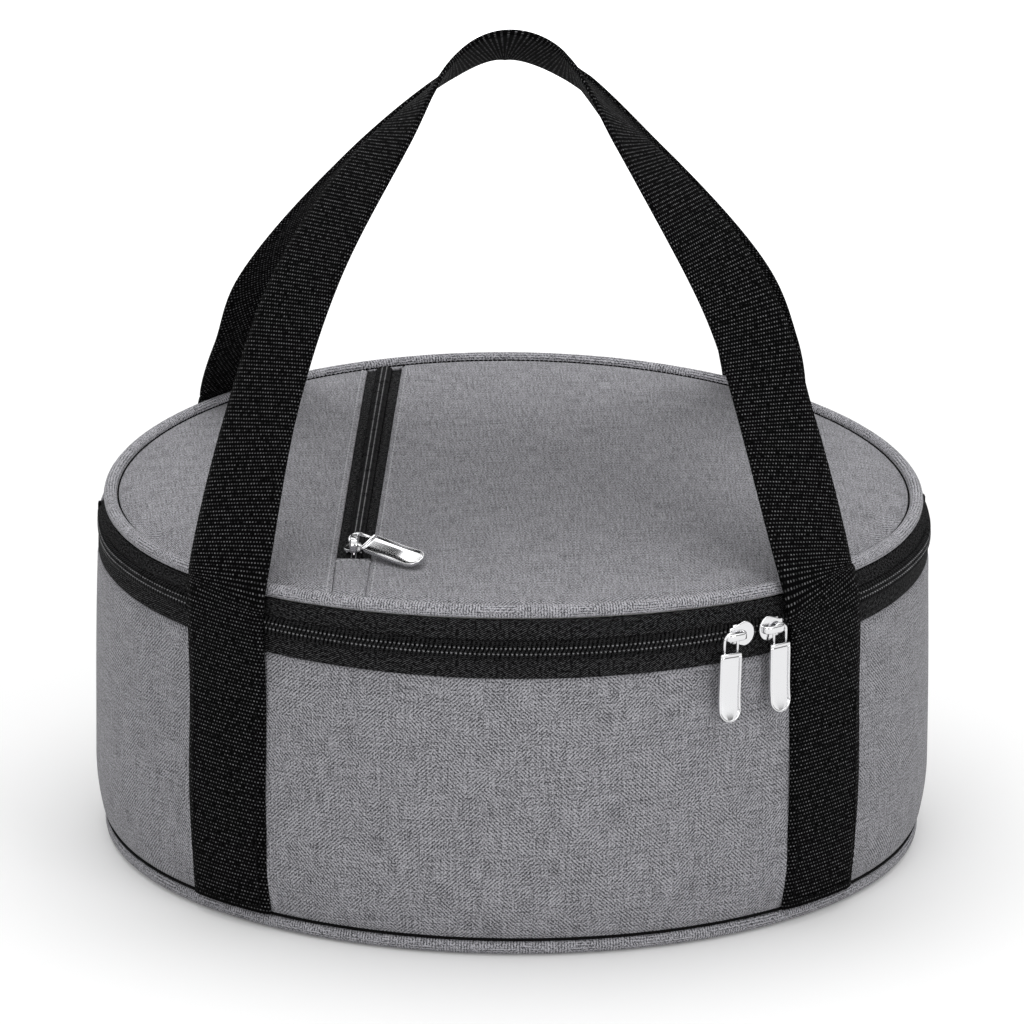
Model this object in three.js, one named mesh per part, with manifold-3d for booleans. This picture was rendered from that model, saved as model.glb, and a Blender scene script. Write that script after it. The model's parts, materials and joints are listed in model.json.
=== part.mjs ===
// Round insulated lunch bag: a padded drum of grey cloth whose lid is zipped round its front half and
// folds back across the middle, with a zipped pocket in the lid and two webbing carry handles.
// Millimetres, +Z up, the front towards -Y, the origin at the centre of the base on the table.
// Angles round the drum are in degrees from the front, positive towards +X.

import * as THREE from 'three';
import { mergeVertices } from 'three/addons/utils/BufferGeometryUtils.js';
import Module from 'manifold-3d';

const wasm = await Module();
wasm.setup();

// Gaps and facets
const CLEARANCE = 0.3; // between pieces that touch
const FACET_ANGLE = 6; // degrees of the drum in one flat facet
const TUBE_SIDES = 8;
const STRAP_STEPS = 4; // steps of a strap between two of its guide points
const EYE_STEPS = 6; // steps of a half turn of a pull's round ends

// Drum
const BODY_RADIUS = 150;
const WALL_TOP = 106;
const FABRIC = 1;
const WALL_FOAM = 5;
const LINER = 0.8;
const BINDING = 1;
const BASE_CLOTH = 1.2;
const BASE_BOARD = 2;
const BASE_FOAM = 5;
const BASE_PIPING = 2.9; // radius of the piped edge
const BASE_PIPING_LIFT = 0.3; // the piping hangs just off the table

// Rim zip
const ZIP_BAND = 21.6; // height of the strip between the wall and the lid's piping
const ZIP_END = 96; // angle where the tapes end
const COIL_SHORTFALL = 2; // degrees from the coils' ends to the tapes' ends
const ZIP_TAPE = 1.2;
const TAPE_SET_BACK = 0.2; // the tape's face lies this far inside the wall's face
const TAPE_LEAN = 1.3; // the strip leans in this far on its way up to the lid
const TAPE_LEAN_START = 15; // height above the wall where it starts to lean
const COIL_WIDTH = 3;
const COIL_HEIGHT = 1.8;
const COIL_GAP = 1.2; // between the two coils
const STOP_ANGLE = 1.2; // degrees of the drum that a zip stop covers

// Lid
const LID_PIPING = 2.5;
const LID_PIPING_INSET = 0.5; // from the wall's face to the piping's outside
const PANEL_LIFT = 0.5; // lid cloth above the middle of its piping
const POCKET_LINING = 0.7;
const LID_FOAM = 5;
const FOLD_GAP = 0.3; // between the flap and the fixed rear half
const REAR_GAP_ANGLE = 0.6; // the same gap at the lid's round edge, in degrees

// Lid pocket, zipped along a line that leans a little to the right towards the back
const POCKET_X = -53.3; // where that line crosses the middle of the lid
const POCKET_TURN = 5.4; // degrees
const POCKET_SLOT = 12.6;
const POCKET_FRONT_MARGIN = 40; // from the lid cloth's edge to the zip's front end
const POCKET_BACK_MARGIN = 5;
const POCKET_TAPE = 0.7;
const POCKET_TAPE_HEM = 4; // tape under the lid cloth on each side
const POCKET_COIL_WIDTH = 1.8;
const POCKET_COIL_HEIGHT = 1.4;
const POCKET_COIL_GAP = 1.2;

// Sliders and pulls
const SLIDER_LENGTH = 10;
const SLIDER_WIDTH = 9;
const POCKET_SLIDER_LENGTH = 9;
const POCKET_SLIDER_WIDTH = 7;
const SLIDER_PLATE = 1;
const SLIDER_PLAY = 0.9; // between the coil and the outer plate
const SLIDER_POST = 0.6; // wedge between the two coils
const CROWN_BAR = 0.9;
const CROWN_FOOT = 1;
const KNUCKLE_BORE = 0.85; // radius of the pull's eye round the crown's bar
const KNUCKLE_WALL = 0.6;
const KNUCKLE_WIDTH = 4.6;
const KNUCKLE_PLAY = 0.25;
const PULL_WIDTH = 8.4;
const PULL_NECK = 3.5;
const PULL_THICKNESS = 1.2;
const RIM_PULL_LENGTH = 30.5;
const POCKET_PULL_LENGTH = 31;
const LEFT_SLIDER_ANGLE = 29.4;
const RIGHT_SLIDER_ANGLE = 35;
const CROWN_OFFSET = 1.6; // the crowns of the two rim sliders stand towards their far ends
const POCKET_SLIDER_START = 6; // middle of the pocket slider from the zip's front end
const POCKET_PULL_TURN = 44; // the pocket pull lies towards the front right

// Webbing handles
const WEBBING_WIDTH = 37;
const WEBBING = 1.8;
const FRONT_LEG_ANGLE = 45.5;
const BACK_LEG_ANGLE = 40; // from the back of the bag
const ANCHOR_FLARE = 70; // height where the sewn strap starts to leave the wall
const HANDLE_ROOT = 82; // height where the sewn strap ends and the free loop starts
const STRAP_PASS = 0.55; // room between a passing pull and the free strap
const LEAN_START = -2; // height above the lid cloth where the legs start to lean in
const HANDLE_RISE = 168.5; // top of the front loop's centre line above the lid cloth
// Guide points of the right half of each loop, with how far they drop below the front loop's top.
// turned is how far the strap's width has turned from the wall's direction to the top's, and tilt how
// many degrees the loop's far edge dips at the top.
const FRONT_LOOP = {
  top: { x: 0, y: -15.5, drop: 0, turned: 1, tilt: 34 },
  crest: { x: 20, y: -18, drop: 5.5, turned: 0.9 },
  shoulder: { x: 43, y: -30, drop: 27.5, turned: 0.55 },
  kink: { x: 77.6, y: -57, drop: 76.5, turned: 0 },
};
const BACK_LOOP = {
  top: { x: 0, y: 22, drop: 11.5, turned: 1, tilt: 18 },
  crest: { x: 20, y: 24, drop: 18, turned: 0.9 },
  shoulder: { x: 46, y: 40, drop: 61, turned: 0.55 },
  kink: { x: 81, y: 66, drop: 108.5, turned: 0 },
};

// Radii and levels of the drum
const wallFoamOuter = BODY_RADIUS - FABRIC - CLEARANCE;
const wallFoamInner = wallFoamOuter - WALL_FOAM;
const linerOuter = wallFoamInner - CLEARANCE;
const linerInner = linerOuter - LINER;
const basePipingZ = BASE_PIPING_LIFT + BASE_PIPING;
const wallBottom = basePipingZ + BASE_PIPING + CLEARANCE;
const baseRadius = Math.min(linerOuter, BODY_RADIUS - 2 * BASE_PIPING - CLEARANCE);
const boardBottom = BASE_CLOTH + CLEARANCE;
const baseFoamBottom = boardBottom + BASE_BOARD + CLEARANCE;
const baseLinerBottom = baseFoamBottom + BASE_FOAM + CLEARANCE;
const wallLinerBottom = baseLinerBottom + LINER + CLEARANCE;

// Radii and levels of the rim zip
const bandBottom = WALL_TOP + CLEARANCE;
const bandTop = bandBottom + ZIP_BAND;
const zipMiddle = bandBottom + ZIP_BAND / 2;
const tapeOuter = BODY_RADIUS - TAPE_SET_BACK;
const tapeInner = tapeOuter - ZIP_TAPE;
const coilInner = tapeOuter + CLEARANCE;
const coilOuter = coilInner + COIL_HEIGHT;
const lowerCoilTop = zipMiddle - COIL_GAP / 2;
const upperCoilBottom = zipMiddle + COIL_GAP / 2;
const coilEnd = ZIP_END - COIL_SHORTFALL;
const rearStart = ZIP_END + REAR_GAP_ANGLE;

// Radii and levels of the lid
const pipingRing = BODY_RADIUS - LID_PIPING_INSET - LID_PIPING;
const lidPipingZ = bandTop + CLEARANCE + LID_PIPING;
const panelBottom = lidPipingZ + PANEL_LIFT;
const panelTop = panelBottom + FABRIC;
const panelRadius = pipingRing - LID_PIPING - CLEARANCE;
const pocketTapeTop = panelBottom - CLEARANCE;
const pocketTapeBottom = pocketTapeTop - POCKET_TAPE;
const liningTop = pocketTapeBottom - SLIDER_PLATE - 2 * CLEARANCE;
const lidFoamTop = liningTop - POCKET_LINING - CLEARANCE;
const lidLinerTop = lidFoamTop - LID_FOAM - CLEARANCE;
const lidLinerBottom = lidLinerTop - LINER;
const lidBindingOuter = tapeInner - TAPE_LEAN - SLIDER_PLATE;
const lidFoamRadius = lidBindingOuter - BINDING - CLEARANCE;
const liningRadius = panelRadius + CLEARANCE;
const foldY = BODY_RADIUS * Math.sin(radians(ZIP_END - 90)) + CLEARANCE;

// Stack of a slider over its tape, from the tape's face outwards
const knuckleRadius = KNUCKLE_BORE + KNUCKLE_WALL;
const rimPlateInner = CLEARANCE + COIL_HEIGHT + SLIDER_PLAY;
const rimBarOffset = rimPlateInner + SLIDER_PLATE + KNUCKLE_PLAY + knuckleRadius;
const pocketPlateInner = CLEARANCE + POCKET_COIL_HEIGHT + SLIDER_PLAY;
const pocketBarOffset = pocketPlateInner + SLIDER_PLATE + KNUCKLE_PLAY + knuckleRadius;

// Centre lines of the straps
const strapSewn = BODY_RADIUS + CLEARANCE + WEBBING / 2;
const strapFree = tapeOuter + rimBarOffset + knuckleRadius + STRAP_PASS + WEBBING / 2;
const handleTopZ = panelTop + HANDLE_RISE;

// Finishes
const greyCloth = finish(0x8c8d92, 0.95, 0);
const pipingCloth = finish(0x86878c, 0.95, 0);
const foil = finish(0xb9bcc0, 0.35, 0.6);
const foam = finish(0xe6e4de, 0.9, 0);
const board = finish(0x3a3a3c, 0.8, 0);
const lining = finish(0x4a4b50, 0.9, 0);
const tapeCloth = finish(0x141416, 0.9, 0);
const nylon = finish(0x101012, 0.4, 0);
const webbing = finish(0x161618, 0.9, 0);
const chrome = finish(0xd8d9db, 0.12, 1);

const bag = new THREE.Group();
bag.name = 'insulated_lunch_bag';

function radians(degrees) {
  return THREE.MathUtils.degToRad(degrees);
}

function finish(color, roughness, metalness) {
  return new THREE.MeshStandardMaterial({ color, roughness, metalness });
}

function addPiece(name, geometry, material, parent = bag) {
  const mesh = new THREE.Mesh(geometry, material);
  mesh.name = name;
  parent.add(mesh);
  return mesh;
}

// Turns a closed geometry's faces outwards
function faceOut(geometry) {
  const indexed = geometry.index ? geometry : mergeVertices(geometry);
  const position = indexed.attributes.position;
  const index = indexed.index.array;
  const [a, b, c] = [new THREE.Vector3(), new THREE.Vector3(), new THREE.Vector3()];
  let volume = 0;
  for (let i = 0; i < index.length; i += 3) {
    a.fromBufferAttribute(position, index[i]);
    b.fromBufferAttribute(position, index[i + 1]);
    c.fromBufferAttribute(position, index[i + 2]);
    volume += a.dot(b.cross(c));
  }
  if (volume < 0) {
    index.reverse();
  }
  return indexed;
}

// Skin over a row of like sections: closed into a ring, or capped at both ends.
// outline is the section's own flat shape, which its caps are cut from.
function loft(sections, outline, isRing = false) {
  const count = outline.length;
  const points = sections.flat().flatMap((p) => [p.x, p.y, p.z]);
  const index = [];
  const spans = isRing ? sections.length : sections.length - 1;
  for (let i = 0; i < spans; i += 1) {
    const near = i * count;
    const far = ((i + 1) % sections.length) * count;
    for (let j = 0; j < count; j += 1) {
      const k = (j + 1) % count;
      index.push(near + j, near + k, far + k, near + j, far + k, far + j);
    }
  }
  if (!isRing) {
    const turn = Math.sign(THREE.ShapeUtils.area(outline));
    const last = (sections.length - 1) * count;
    for (const face of THREE.ShapeUtils.triangulateShape(outline, [])) {
      const faceTurn = Math.sign(THREE.ShapeUtils.area(face.map((j) => outline[j])));
      const [a, b, c] = faceTurn === turn ? face : [face[0], face[2], face[1]];
      index.push(last + a, last + b, last + c, a, c, b);
    }
  }
  const geometry = new THREE.BufferGeometry();
  geometry.setAttribute('position', new THREE.Float32BufferAttribute(points, 3));
  geometry.setIndex(index);
  return faceOut(geometry);
}

// Sections of the drum's rings, as radius and height
function band(inner, outer, low, high) {
  const corners = [[inner, low], [outer, low], [outer, high], [inner, high]];
  return corners.map(([r, z]) => new THREE.Vector2(r, z));
}

function leaningBand(low, high) {
  const bend = Math.min(bandBottom + TAPE_LEAN_START, high);
  const inner = [[tapeInner - TAPE_LEAN, high], [tapeInner, bend], [tapeInner, low]];
  const outer = [[tapeOuter, low], [tapeOuter, bend], [tapeOuter - TAPE_LEAN, high]];
  return [...inner, ...outer].map(([r, z]) => new THREE.Vector2(r, z));
}

function roundSection(ring, middle, radius) {
  return Array.from({ length: TUBE_SIDES }, (_, i) => {
    const angle = (2 * Math.PI * (i + 0.5)) / TUBE_SIDES;
    return new THREE.Vector2(ring + radius * Math.cos(angle), middle + radius * Math.sin(angle));
  });
}

function aroundDrum(radius, angle, height) {
  const turn = radians(angle);
  return new THREE.Vector3(radius * Math.sin(turn), -radius * Math.cos(turn), height);
}

function ring(section) {
  const profile = [...section, section[0]];
  const geometry = new THREE.LatheGeometry(profile, 360 / FACET_ANGLE);
  geometry.rotateX(Math.PI / 2);
  geometry.deleteAttribute('normal');
  geometry.deleteAttribute('uv');
  return faceOut(mergeVertices(geometry));
}

function arc(section, from, to) {
  const angles = [from];
  for (let angle = FACET_ANGLE * Math.ceil(from / FACET_ANGLE); angle < to; angle += FACET_ANGLE) {
    if (angle > from) {
      angles.push(angle);
    }
  }
  angles.push(to);
  return loft(angles.map((angle) => section.map((p) => aroundDrum(p.x, angle, p.y))), section);
}

function disc(radius, low, thickness) {
  return plate(circle(radius), low, low + thickness);
}

// Flat outlines of the lid, seen from above
function circle(radius) {
  const count = 360 / FACET_ANGLE;
  return Array.from({ length: count }, (_, i) => {
    const p = aroundDrum(radius, i * FACET_ANGLE, 0);
    return new THREE.Vector2(p.x, p.y);
  });
}

// Part of a convex outline where nx * x + ny * y is at most limit
function cutOutline(points, nx, ny, limit) {
  const kept = [];
  points.forEach((p, i) => {
    const q = points[(i + 1) % points.length];
    const pOver = nx * p.x + ny * p.y - limit;
    const qOver = nx * q.x + ny * q.y - limit;
    if (pOver <= 0) {
      kept.push(p);
    }
    if (pOver * qOver < 0) {
      kept.push(p.clone().lerp(q, pOver / (pOver - qOver)));
    }
  });
  return kept;
}

function plate(points, low, high) {
  const shape = new THREE.Shape(points);
  const geometry = new THREE.ExtrudeGeometry(shape, { depth: high - low, bevelEnabled: false });
  geometry.translate(0, 0, low);
  return geometry;
}

// Line of the pocket zip: across and along it, from where it crosses the middle of the lid
const pocketAlong = new THREE.Vector2(Math.sin(radians(POCKET_TURN)), Math.cos(radians(POCKET_TURN)));
const pocketAcross = new THREE.Vector2(pocketAlong.y, -pocketAlong.x);
const pocketMiddle = new THREE.Vector2(POCKET_X, 0);
const pocketShift = pocketMiddle.dot(pocketAlong);
const pocketReach = Math.sqrt(panelRadius ** 2 - pocketMiddle.lengthSq() + pocketShift ** 2);
const pocketFront = -pocketShift - pocketReach + POCKET_FRONT_MARGIN;
const pocketBack = -pocketShift + pocketReach - POCKET_BACK_MARGIN;

function pocketPoint(across, along) {
  return pocketMiddle.clone().addScaledVector(pocketAcross, across).addScaledVector(pocketAlong, along);
}

function pocketStrip(left, right, front, back) {
  return [[left, front], [right, front], [right, back], [left, back]].map(([u, v]) => pocketPoint(u, v));
}

// Left and right edge of a strip on one side of the pocket's line
function sideEdges(side, inner, outer) {
  return side < 0 ? [-outer, -inner] : [inner, outer];
}

function besidePocket(points, side, edge) {
  const limit = -side * pocketMiddle.dot(pocketAcross) - edge;
  return cutOutline(points, -side * pocketAcross.x, -side * pocketAcross.y, limit);
}

function beyondPocket(points, end, edge) {
  const limit = -end * pocketMiddle.dot(pocketAlong) - edge;
  return cutOutline(points, -end * pocketAlong.x, -end * pocketAlong.y, limit);
}

// Booleans
function toManifold(geometry) {
  const bare = geometry.clone();
  bare.deleteAttribute('normal');
  bare.deleteAttribute('uv');
  const merged = mergeVertices(bare);
  const vertProperties = new Float32Array(merged.attributes.position.array);
  const triVerts = new Uint32Array(merged.index.array);
  return new wasm.Manifold(new wasm.Mesh({ numProp: 3, vertProperties, triVerts }));
}

function join(first, second) {
  const mesh = toManifold(first).add(toManifold(second)).getMesh();
  const geometry = new THREE.BufferGeometry();
  geometry.setAttribute('position', new THREE.Float32BufferAttribute(mesh.vertProperties, 3));
  geometry.setIndex(Array.from(mesh.triVerts));
  return geometry;
}

function addDrum() {
  const pipingSection = roundSection(BODY_RADIUS - BASE_PIPING, basePipingZ, BASE_PIPING);
  addPiece('base_panel', disc(baseRadius, 0, BASE_CLOTH), greyCloth);
  addPiece('base_piping', ring(pipingSection), pipingCloth);
  addPiece('base_board', disc(baseRadius, boardBottom, BASE_BOARD), board);
  addPiece('base_foam', disc(baseRadius, baseFoamBottom, BASE_FOAM), foam);
  addPiece('base_liner', disc(baseRadius, baseLinerBottom, LINER), foil);
  const wallSection = band(BODY_RADIUS - FABRIC, BODY_RADIUS, wallBottom, WALL_TOP);
  addPiece('wall_panel', ring(wallSection), greyCloth);
  addPiece('wall_foam', ring(band(wallFoamInner, wallFoamOuter, wallBottom, WALL_TOP)), foam);
  addPiece('wall_liner', ring(band(linerInner, linerOuter, wallLinerBottom, WALL_TOP)), foil);
  const bindingSection = band(linerInner, tapeInner - CLEARANCE, bandBottom, bandBottom + BINDING);
  addPiece('rim_binding', ring(bindingSection), tapeCloth);
}

function addRimZip() {
  const lowerCoil = band(coilInner, coilOuter, lowerCoilTop - COIL_WIDTH, lowerCoilTop);
  const upperCoil = band(coilInner, coilOuter, upperCoilBottom, upperCoilBottom + COIL_WIDTH);
  const stop = band(coilInner, coilOuter, lowerCoilTop - COIL_WIDTH, upperCoilBottom + COIL_WIDTH);
  const stopMiddle = (ZIP_END + coilEnd) / 2;
  const lowerTape = band(tapeInner, tapeOuter, bandBottom, lowerCoilTop);
  addPiece('lower_zip_tape', arc(lowerTape, -ZIP_END, ZIP_END), tapeCloth);
  addPiece('lower_zip_coil', arc(lowerCoil, -coilEnd, coilEnd), nylon);
  addPiece('upper_zip_tape', arc(leaningBand(upperCoilBottom, bandTop), -ZIP_END, ZIP_END), tapeCloth);
  addPiece('upper_zip_coil', arc(upperCoil, -coilEnd, coilEnd), nylon);
  for (const [side, name] of [[-1, 'left'], [1, 'right']]) {
    const middle = side * stopMiddle;
    addPiece(`zip_stop_${name}`, arc(stop, middle - STOP_ANGLE / 2, middle + STOP_ANGLE / 2), nylon);
  }
}

function addBackBand() {
  const linerFace = tapeInner - CLEARANCE;
  const linerLow = bandBottom + BINDING + CLEARANCE;
  const linerSection = band(linerFace - LINER, linerFace, linerLow, bandBottom + TAPE_LEAN_START);
  addPiece('back_band', arc(leaningBand(bandBottom, bandTop), rearStart, 360 - rearStart), greyCloth);
  addPiece('back_band_liner', arc(linerSection, rearStart, 360 - rearStart), foil);
}

// One half of the lid, in front of the fold or behind it
function addLidHalf(half) {
  const facing = half === 'front' ? 1 : -1;
  const cut = (points) => cutOutline(points, 0, facing, facing * foldY - FOLD_GAP / 2);
  const panel = cut(circle(panelRadius));
  const slotEdge = POCKET_SLOT / 2;
  for (const [side, name] of [[-1, 'left'], [1, 'right']]) {
    const cloth = plate(besidePocket(panel, side, slotEdge), panelBottom, panelTop);
    addPiece(`lid_${half}_${name}_panel`, cloth, greyCloth);
  }
  const patchEdge = half === 'front' ? -pocketFront : pocketBack;
  const patch = beyondPocket(panel, -facing, patchEdge);
  const patchRight = besidePocket(patch, 1, CLEARANCE - slotEdge);
  const patchBetween = besidePocket(patchRight, -1, CLEARANCE - slotEdge);
  addPiece(`pocket_${half}_patch`, plate(patchBetween, panelBottom, panelTop), greyCloth);

  const liningOutline = cut(circle(liningRadius));
  const foamOutline = cut(circle(lidFoamRadius));
  addPiece(`lid_${half}_pocket_lining`, plate(liningOutline, liningTop - POCKET_LINING, liningTop), lining);
  addPiece(`lid_${half}_foam`, plate(foamOutline, lidFoamTop - LID_FOAM, lidFoamTop), foam);
  addPiece(`lid_${half}_liner`, plate(foamOutline, lidLinerBottom, lidLinerTop), foil);
  const pipingSection = roundSection(pipingRing, lidPipingZ, LID_PIPING);
  const [from, to] = half === 'front' ? [-ZIP_END, ZIP_END] : [rearStart, 360 - rearStart];
  addPiece(`lid_${half}_piping`, arc(pipingSection, from, to), pipingCloth);

  for (const [side, name] of [[-1, 'left'], [1, 'right']]) {
    const inner = POCKET_COIL_GAP / 2;
    const tapeEdges = sideEdges(side, inner, slotEdge + POCKET_TAPE_HEM);
    const coilEdges = sideEdges(side, inner, inner + POCKET_COIL_WIDTH);
    const coilBottom = pocketTapeTop + CLEARANCE;
    const tape = cut(pocketStrip(...tapeEdges, pocketFront, pocketBack));
    const coil = cut(pocketStrip(...coilEdges, pocketFront + CLEARANCE, pocketBack - CLEARANCE));
    addPiece(`pocket_${half}_${name}_tape`, plate(tape, pocketTapeBottom, pocketTapeTop), tapeCloth);
    addPiece(`pocket_${half}_${name}_coil`, plate(coil, coilBottom, coilBottom + POCKET_COIL_HEIGHT), nylon);
  }
}

function addLidBinding() {
  const section = band(lidBindingOuter - BINDING, lidBindingOuter, lidLinerBottom, lidFoamTop);
  addPiece('lid_binding', arc(section, -ZIP_END, ZIP_END), tapeCloth);
}

// A slider that runs along x over a tape whose face is at y = 0, its outside towards -y.
// crownTurn turns the crown's bar from x about the slider's middle.
function sliderGeometry(length, width, plateInner, tape, crownOffset, crownTurn) {
  const outerPlate = [-plateInner, -plateInner - SLIDER_PLATE];
  const innerPlate = [tape + CLEARANCE, tape + CLEARANCE + SLIDER_PLATE];
  const half = width / 2;
  const post = SLIDER_POST / 2;
  const lower = [[outerPlate[1], -half], [outerPlate[0], -half], [outerPlate[0], -post],
    [innerPlate[0], -post], [innerPlate[0], -half], [innerPlate[1], -half]];
  const upper = lower.map(([y, z]) => [y, -z]).reverse();
  const profile = [...lower, ...upper];
  const outline = profile.map(([y, z]) => new THREE.Vector2(y, z));
  const ends = [-length / 2, length / 2].map((x) => outline.map((p) => new THREE.Vector3(x, p.x, p.y)));

  const barMiddle = plateInner + SLIDER_PLATE + KNUCKLE_PLAY + knuckleRadius;
  const innerReach = KNUCKLE_WIDTH / 2 + CLEARANCE;
  const outerReach = innerReach + CROWN_FOOT;
  const foot = plateInner + SLIDER_PLATE / 2;
  const barTop = barMiddle + CROWN_BAR / 2;
  const barBottom = barMiddle - CROWN_BAR / 2;
  const rightArch = [[outerReach, barTop], [outerReach, foot], [innerReach, foot], [innerReach, barBottom]];
  const leftArch = rightArch.map(([x, out]) => [-x, out]).reverse();
  const arch = [...rightArch, ...leftArch];
  const shape = new THREE.Shape(arch.map(([x, out]) => new THREE.Vector2(x, -out)));
  const crown = new THREE.ExtrudeGeometry(shape, { depth: CROWN_BAR, bevelEnabled: false });
  crown.translate(0, 0, -CROWN_BAR / 2);
  crown.rotateY(crownTurn);
  crown.translate(crownOffset, 0, 0);
  return join(loft(ends, outline), crown);
}

// A pull hung from a bar along x at the origin, its plate hanging towards -z
function pullGeometry(length) {
  const eye = new THREE.Shape();
  eye.absarc(0, 0, knuckleRadius, 0, 2 * Math.PI);
  const bore = new THREE.Path();
  bore.absarc(0, 0, KNUCKLE_BORE, 0, 2 * Math.PI);
  eye.holes.push(bore);
  const knuckleOptions = { depth: KNUCKLE_WIDTH, bevelEnabled: false, curveSegments: EYE_STEPS };
  const knuckle = new THREE.ExtrudeGeometry(eye, knuckleOptions);
  knuckle.translate(0, 0, -KNUCKLE_WIDTH / 2);
  knuckle.rotateY(Math.PI / 2);

  const neck = KNUCKLE_WIDTH / 2;
  const half = PULL_WIDTH / 2;
  const top = -(KNUCKLE_BORE + KNUCKLE_WALL / 2);
  const shoulder = top - PULL_NECK - (half - neck);
  const tab = new THREE.Shape();
  tab.moveTo(-neck, top);
  tab.lineTo(-neck, top - PULL_NECK);
  tab.lineTo(-half, shoulder);
  tab.absarc(0, -length + half, half, Math.PI, 2 * Math.PI);
  tab.lineTo(half, shoulder);
  tab.lineTo(neck, top - PULL_NECK);
  tab.lineTo(neck, top);
  const sheetOptions = { depth: PULL_THICKNESS, bevelEnabled: false, curveSegments: EYE_STEPS };
  const sheet = new THREE.ExtrudeGeometry(tab, sheetOptions);
  sheet.translate(0, 0, -PULL_THICKNESS / 2);
  sheet.rotateX(Math.PI / 2);
  return join(knuckle, sheet);
}

function addRimSlider(name, angle, side) {
  const place = new THREE.Group();
  place.rotation.z = radians(angle);
  bag.add(place);
  const offset = side * CROWN_OFFSET;
  const geometry = sliderGeometry(SLIDER_LENGTH, SLIDER_WIDTH, rimPlateInner, ZIP_TAPE, offset, 0);
  addPiece(`${name}_slider`, geometry, chrome, place).position.set(0, -tapeOuter, zipMiddle);
  const pull = addPiece(`${name}_pull`, pullGeometry(RIM_PULL_LENGTH), chrome, place);
  pull.position.set(offset, -tapeOuter - rimBarOffset, zipMiddle);
}

function addPocketSlider() {
  const place = new THREE.Group();
  const middle = pocketPoint(0, pocketFront + POCKET_SLIDER_START);
  place.position.set(middle.x, middle.y, pocketTapeTop);
  bag.add(place);
  const slopeTurn = radians(90 - POCKET_TURN);
  const pullTurn = radians(POCKET_PULL_TURN);
  const crownTurn = slopeTurn - pullTurn;
  const geometry = sliderGeometry(
    POCKET_SLIDER_LENGTH, POCKET_SLIDER_WIDTH, pocketPlateInner, POCKET_TAPE, 0, crownTurn);
  geometry.rotateX(-Math.PI / 2);
  addPiece('pocket_slider', geometry, chrome, place).rotation.z = slopeTurn;
  const pullShape = pullGeometry(POCKET_PULL_LENGTH);
  pullShape.rotateX(-Math.PI / 2);
  const pull = addPiece('pocket_pull', pullShape, chrome, place);
  pull.position.z = pocketBarOffset;
  pull.rotation.z = pullTurn;
}

// Section of a strap: five points across each face, bent round the wall by sag at the edges
function strapSection(sag) {
  const across = [-1, -0.5, 0, 0.5, 1];
  const face = (out) => across.map((u) => new THREE.Vector2((u * WEBBING_WIDTH) / 2, out - sag * u * u));
  return [...face(-WEBBING / 2), ...face(WEBBING / 2).reverse()];
}

const wallSag = strapSewn * (1 - Math.cos(WEBBING_WIDTH / 2 / strapSewn));

// Strap through guide points, each with the direction of its width and its bend across
function strap(guides) {
  const curve = new THREE.CatmullRomCurve3(guides.map((guide) => guide.at), false, 'centripetal');
  const spans = guides.length - 1;
  const sections = [];
  for (let step = 0; step <= spans * STRAP_STEPS; step += 1) {
    const t = step / (spans * STRAP_STEPS);
    const span = Math.min(Math.floor(t * spans), spans - 1);
    const part = t * spans - span;
    const centre = curve.getPoint(t);
    const along = curve.getTangent(t);
    const width = guides[span].width.clone().lerp(guides[span + 1].width, part);
    width.addScaledVector(along, -width.dot(along)).normalize();
    const outward = new THREE.Vector3().crossVectors(width, along).normalize();
    const sag = THREE.MathUtils.lerp(guides[span].sag, guides[span + 1].sag, part);
    sections.push(strapSection(sag).map((p) => (
      centre.clone().addScaledVector(width, p.x).addScaledVector(outward, p.y))));
  }
  return loft(sections, strapSection(wallSag));
}

function tangent(angle) {
  return new THREE.Vector3(Math.cos(radians(angle)), Math.sin(radians(angle)), 0);
}

function addAnchor(name, angle) {
  const heights = [[strapSewn, wallBottom], [strapSewn, ANCHOR_FLARE], [strapFree, HANDLE_ROOT]];
  const sections = heights.map(([radius, height]) => strapSection(wallSag).map((p) => {
    const point = aroundDrum(radius + p.y, angle, height);
    return point.addScaledVector(tangent(angle), p.x);
  }));
  addPiece(name, loft(sections, strapSection(wallSag)), webbing);
}

// Guide points of one leg from its root to the lean above the lid's edge
function legGuides(angle) {
  const start = HANDLE_ROOT + CLEARANCE;
  const lean = panelTop + LEAN_START;
  return [start, (start + lean) / 2, lean].map((height) => (
    { at: aroundDrum(strapFree, angle, height), width: tangent(angle), sag: wallSag }));
}

// Upper half of a loop: kink, shoulder, crest and top, the width turning over on the way
function loopGuides(angle, loop) {
  const tilt = radians(loop.top.tilt);
  const topWidth = new THREE.Vector3(0, Math.cos(tilt), -Math.sin(tilt));
  return [loop.kink, loop.shoulder, loop.crest, loop.top].map((point) => ({
    at: new THREE.Vector3(point.x, point.y, handleTopZ - point.drop),
    width: tangent(angle).lerp(topWidth, point.turned),
    sag: 0,
  }));
}

function addHandle(name, angle, loop) {
  const right = [...legGuides(angle), ...loopGuides(angle, loop)];
  const mirror = new THREE.Vector3(-1, 1, 1);
  const left = right.slice(0, -1).reverse().map((guide) => ({
    at: guide.at.clone().multiply(mirror),
    width: guide.width.clone().multiply(mirror),
    sag: guide.sag,
  }));
  addPiece(name, strap([...right, ...left]), webbing);
}

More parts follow.
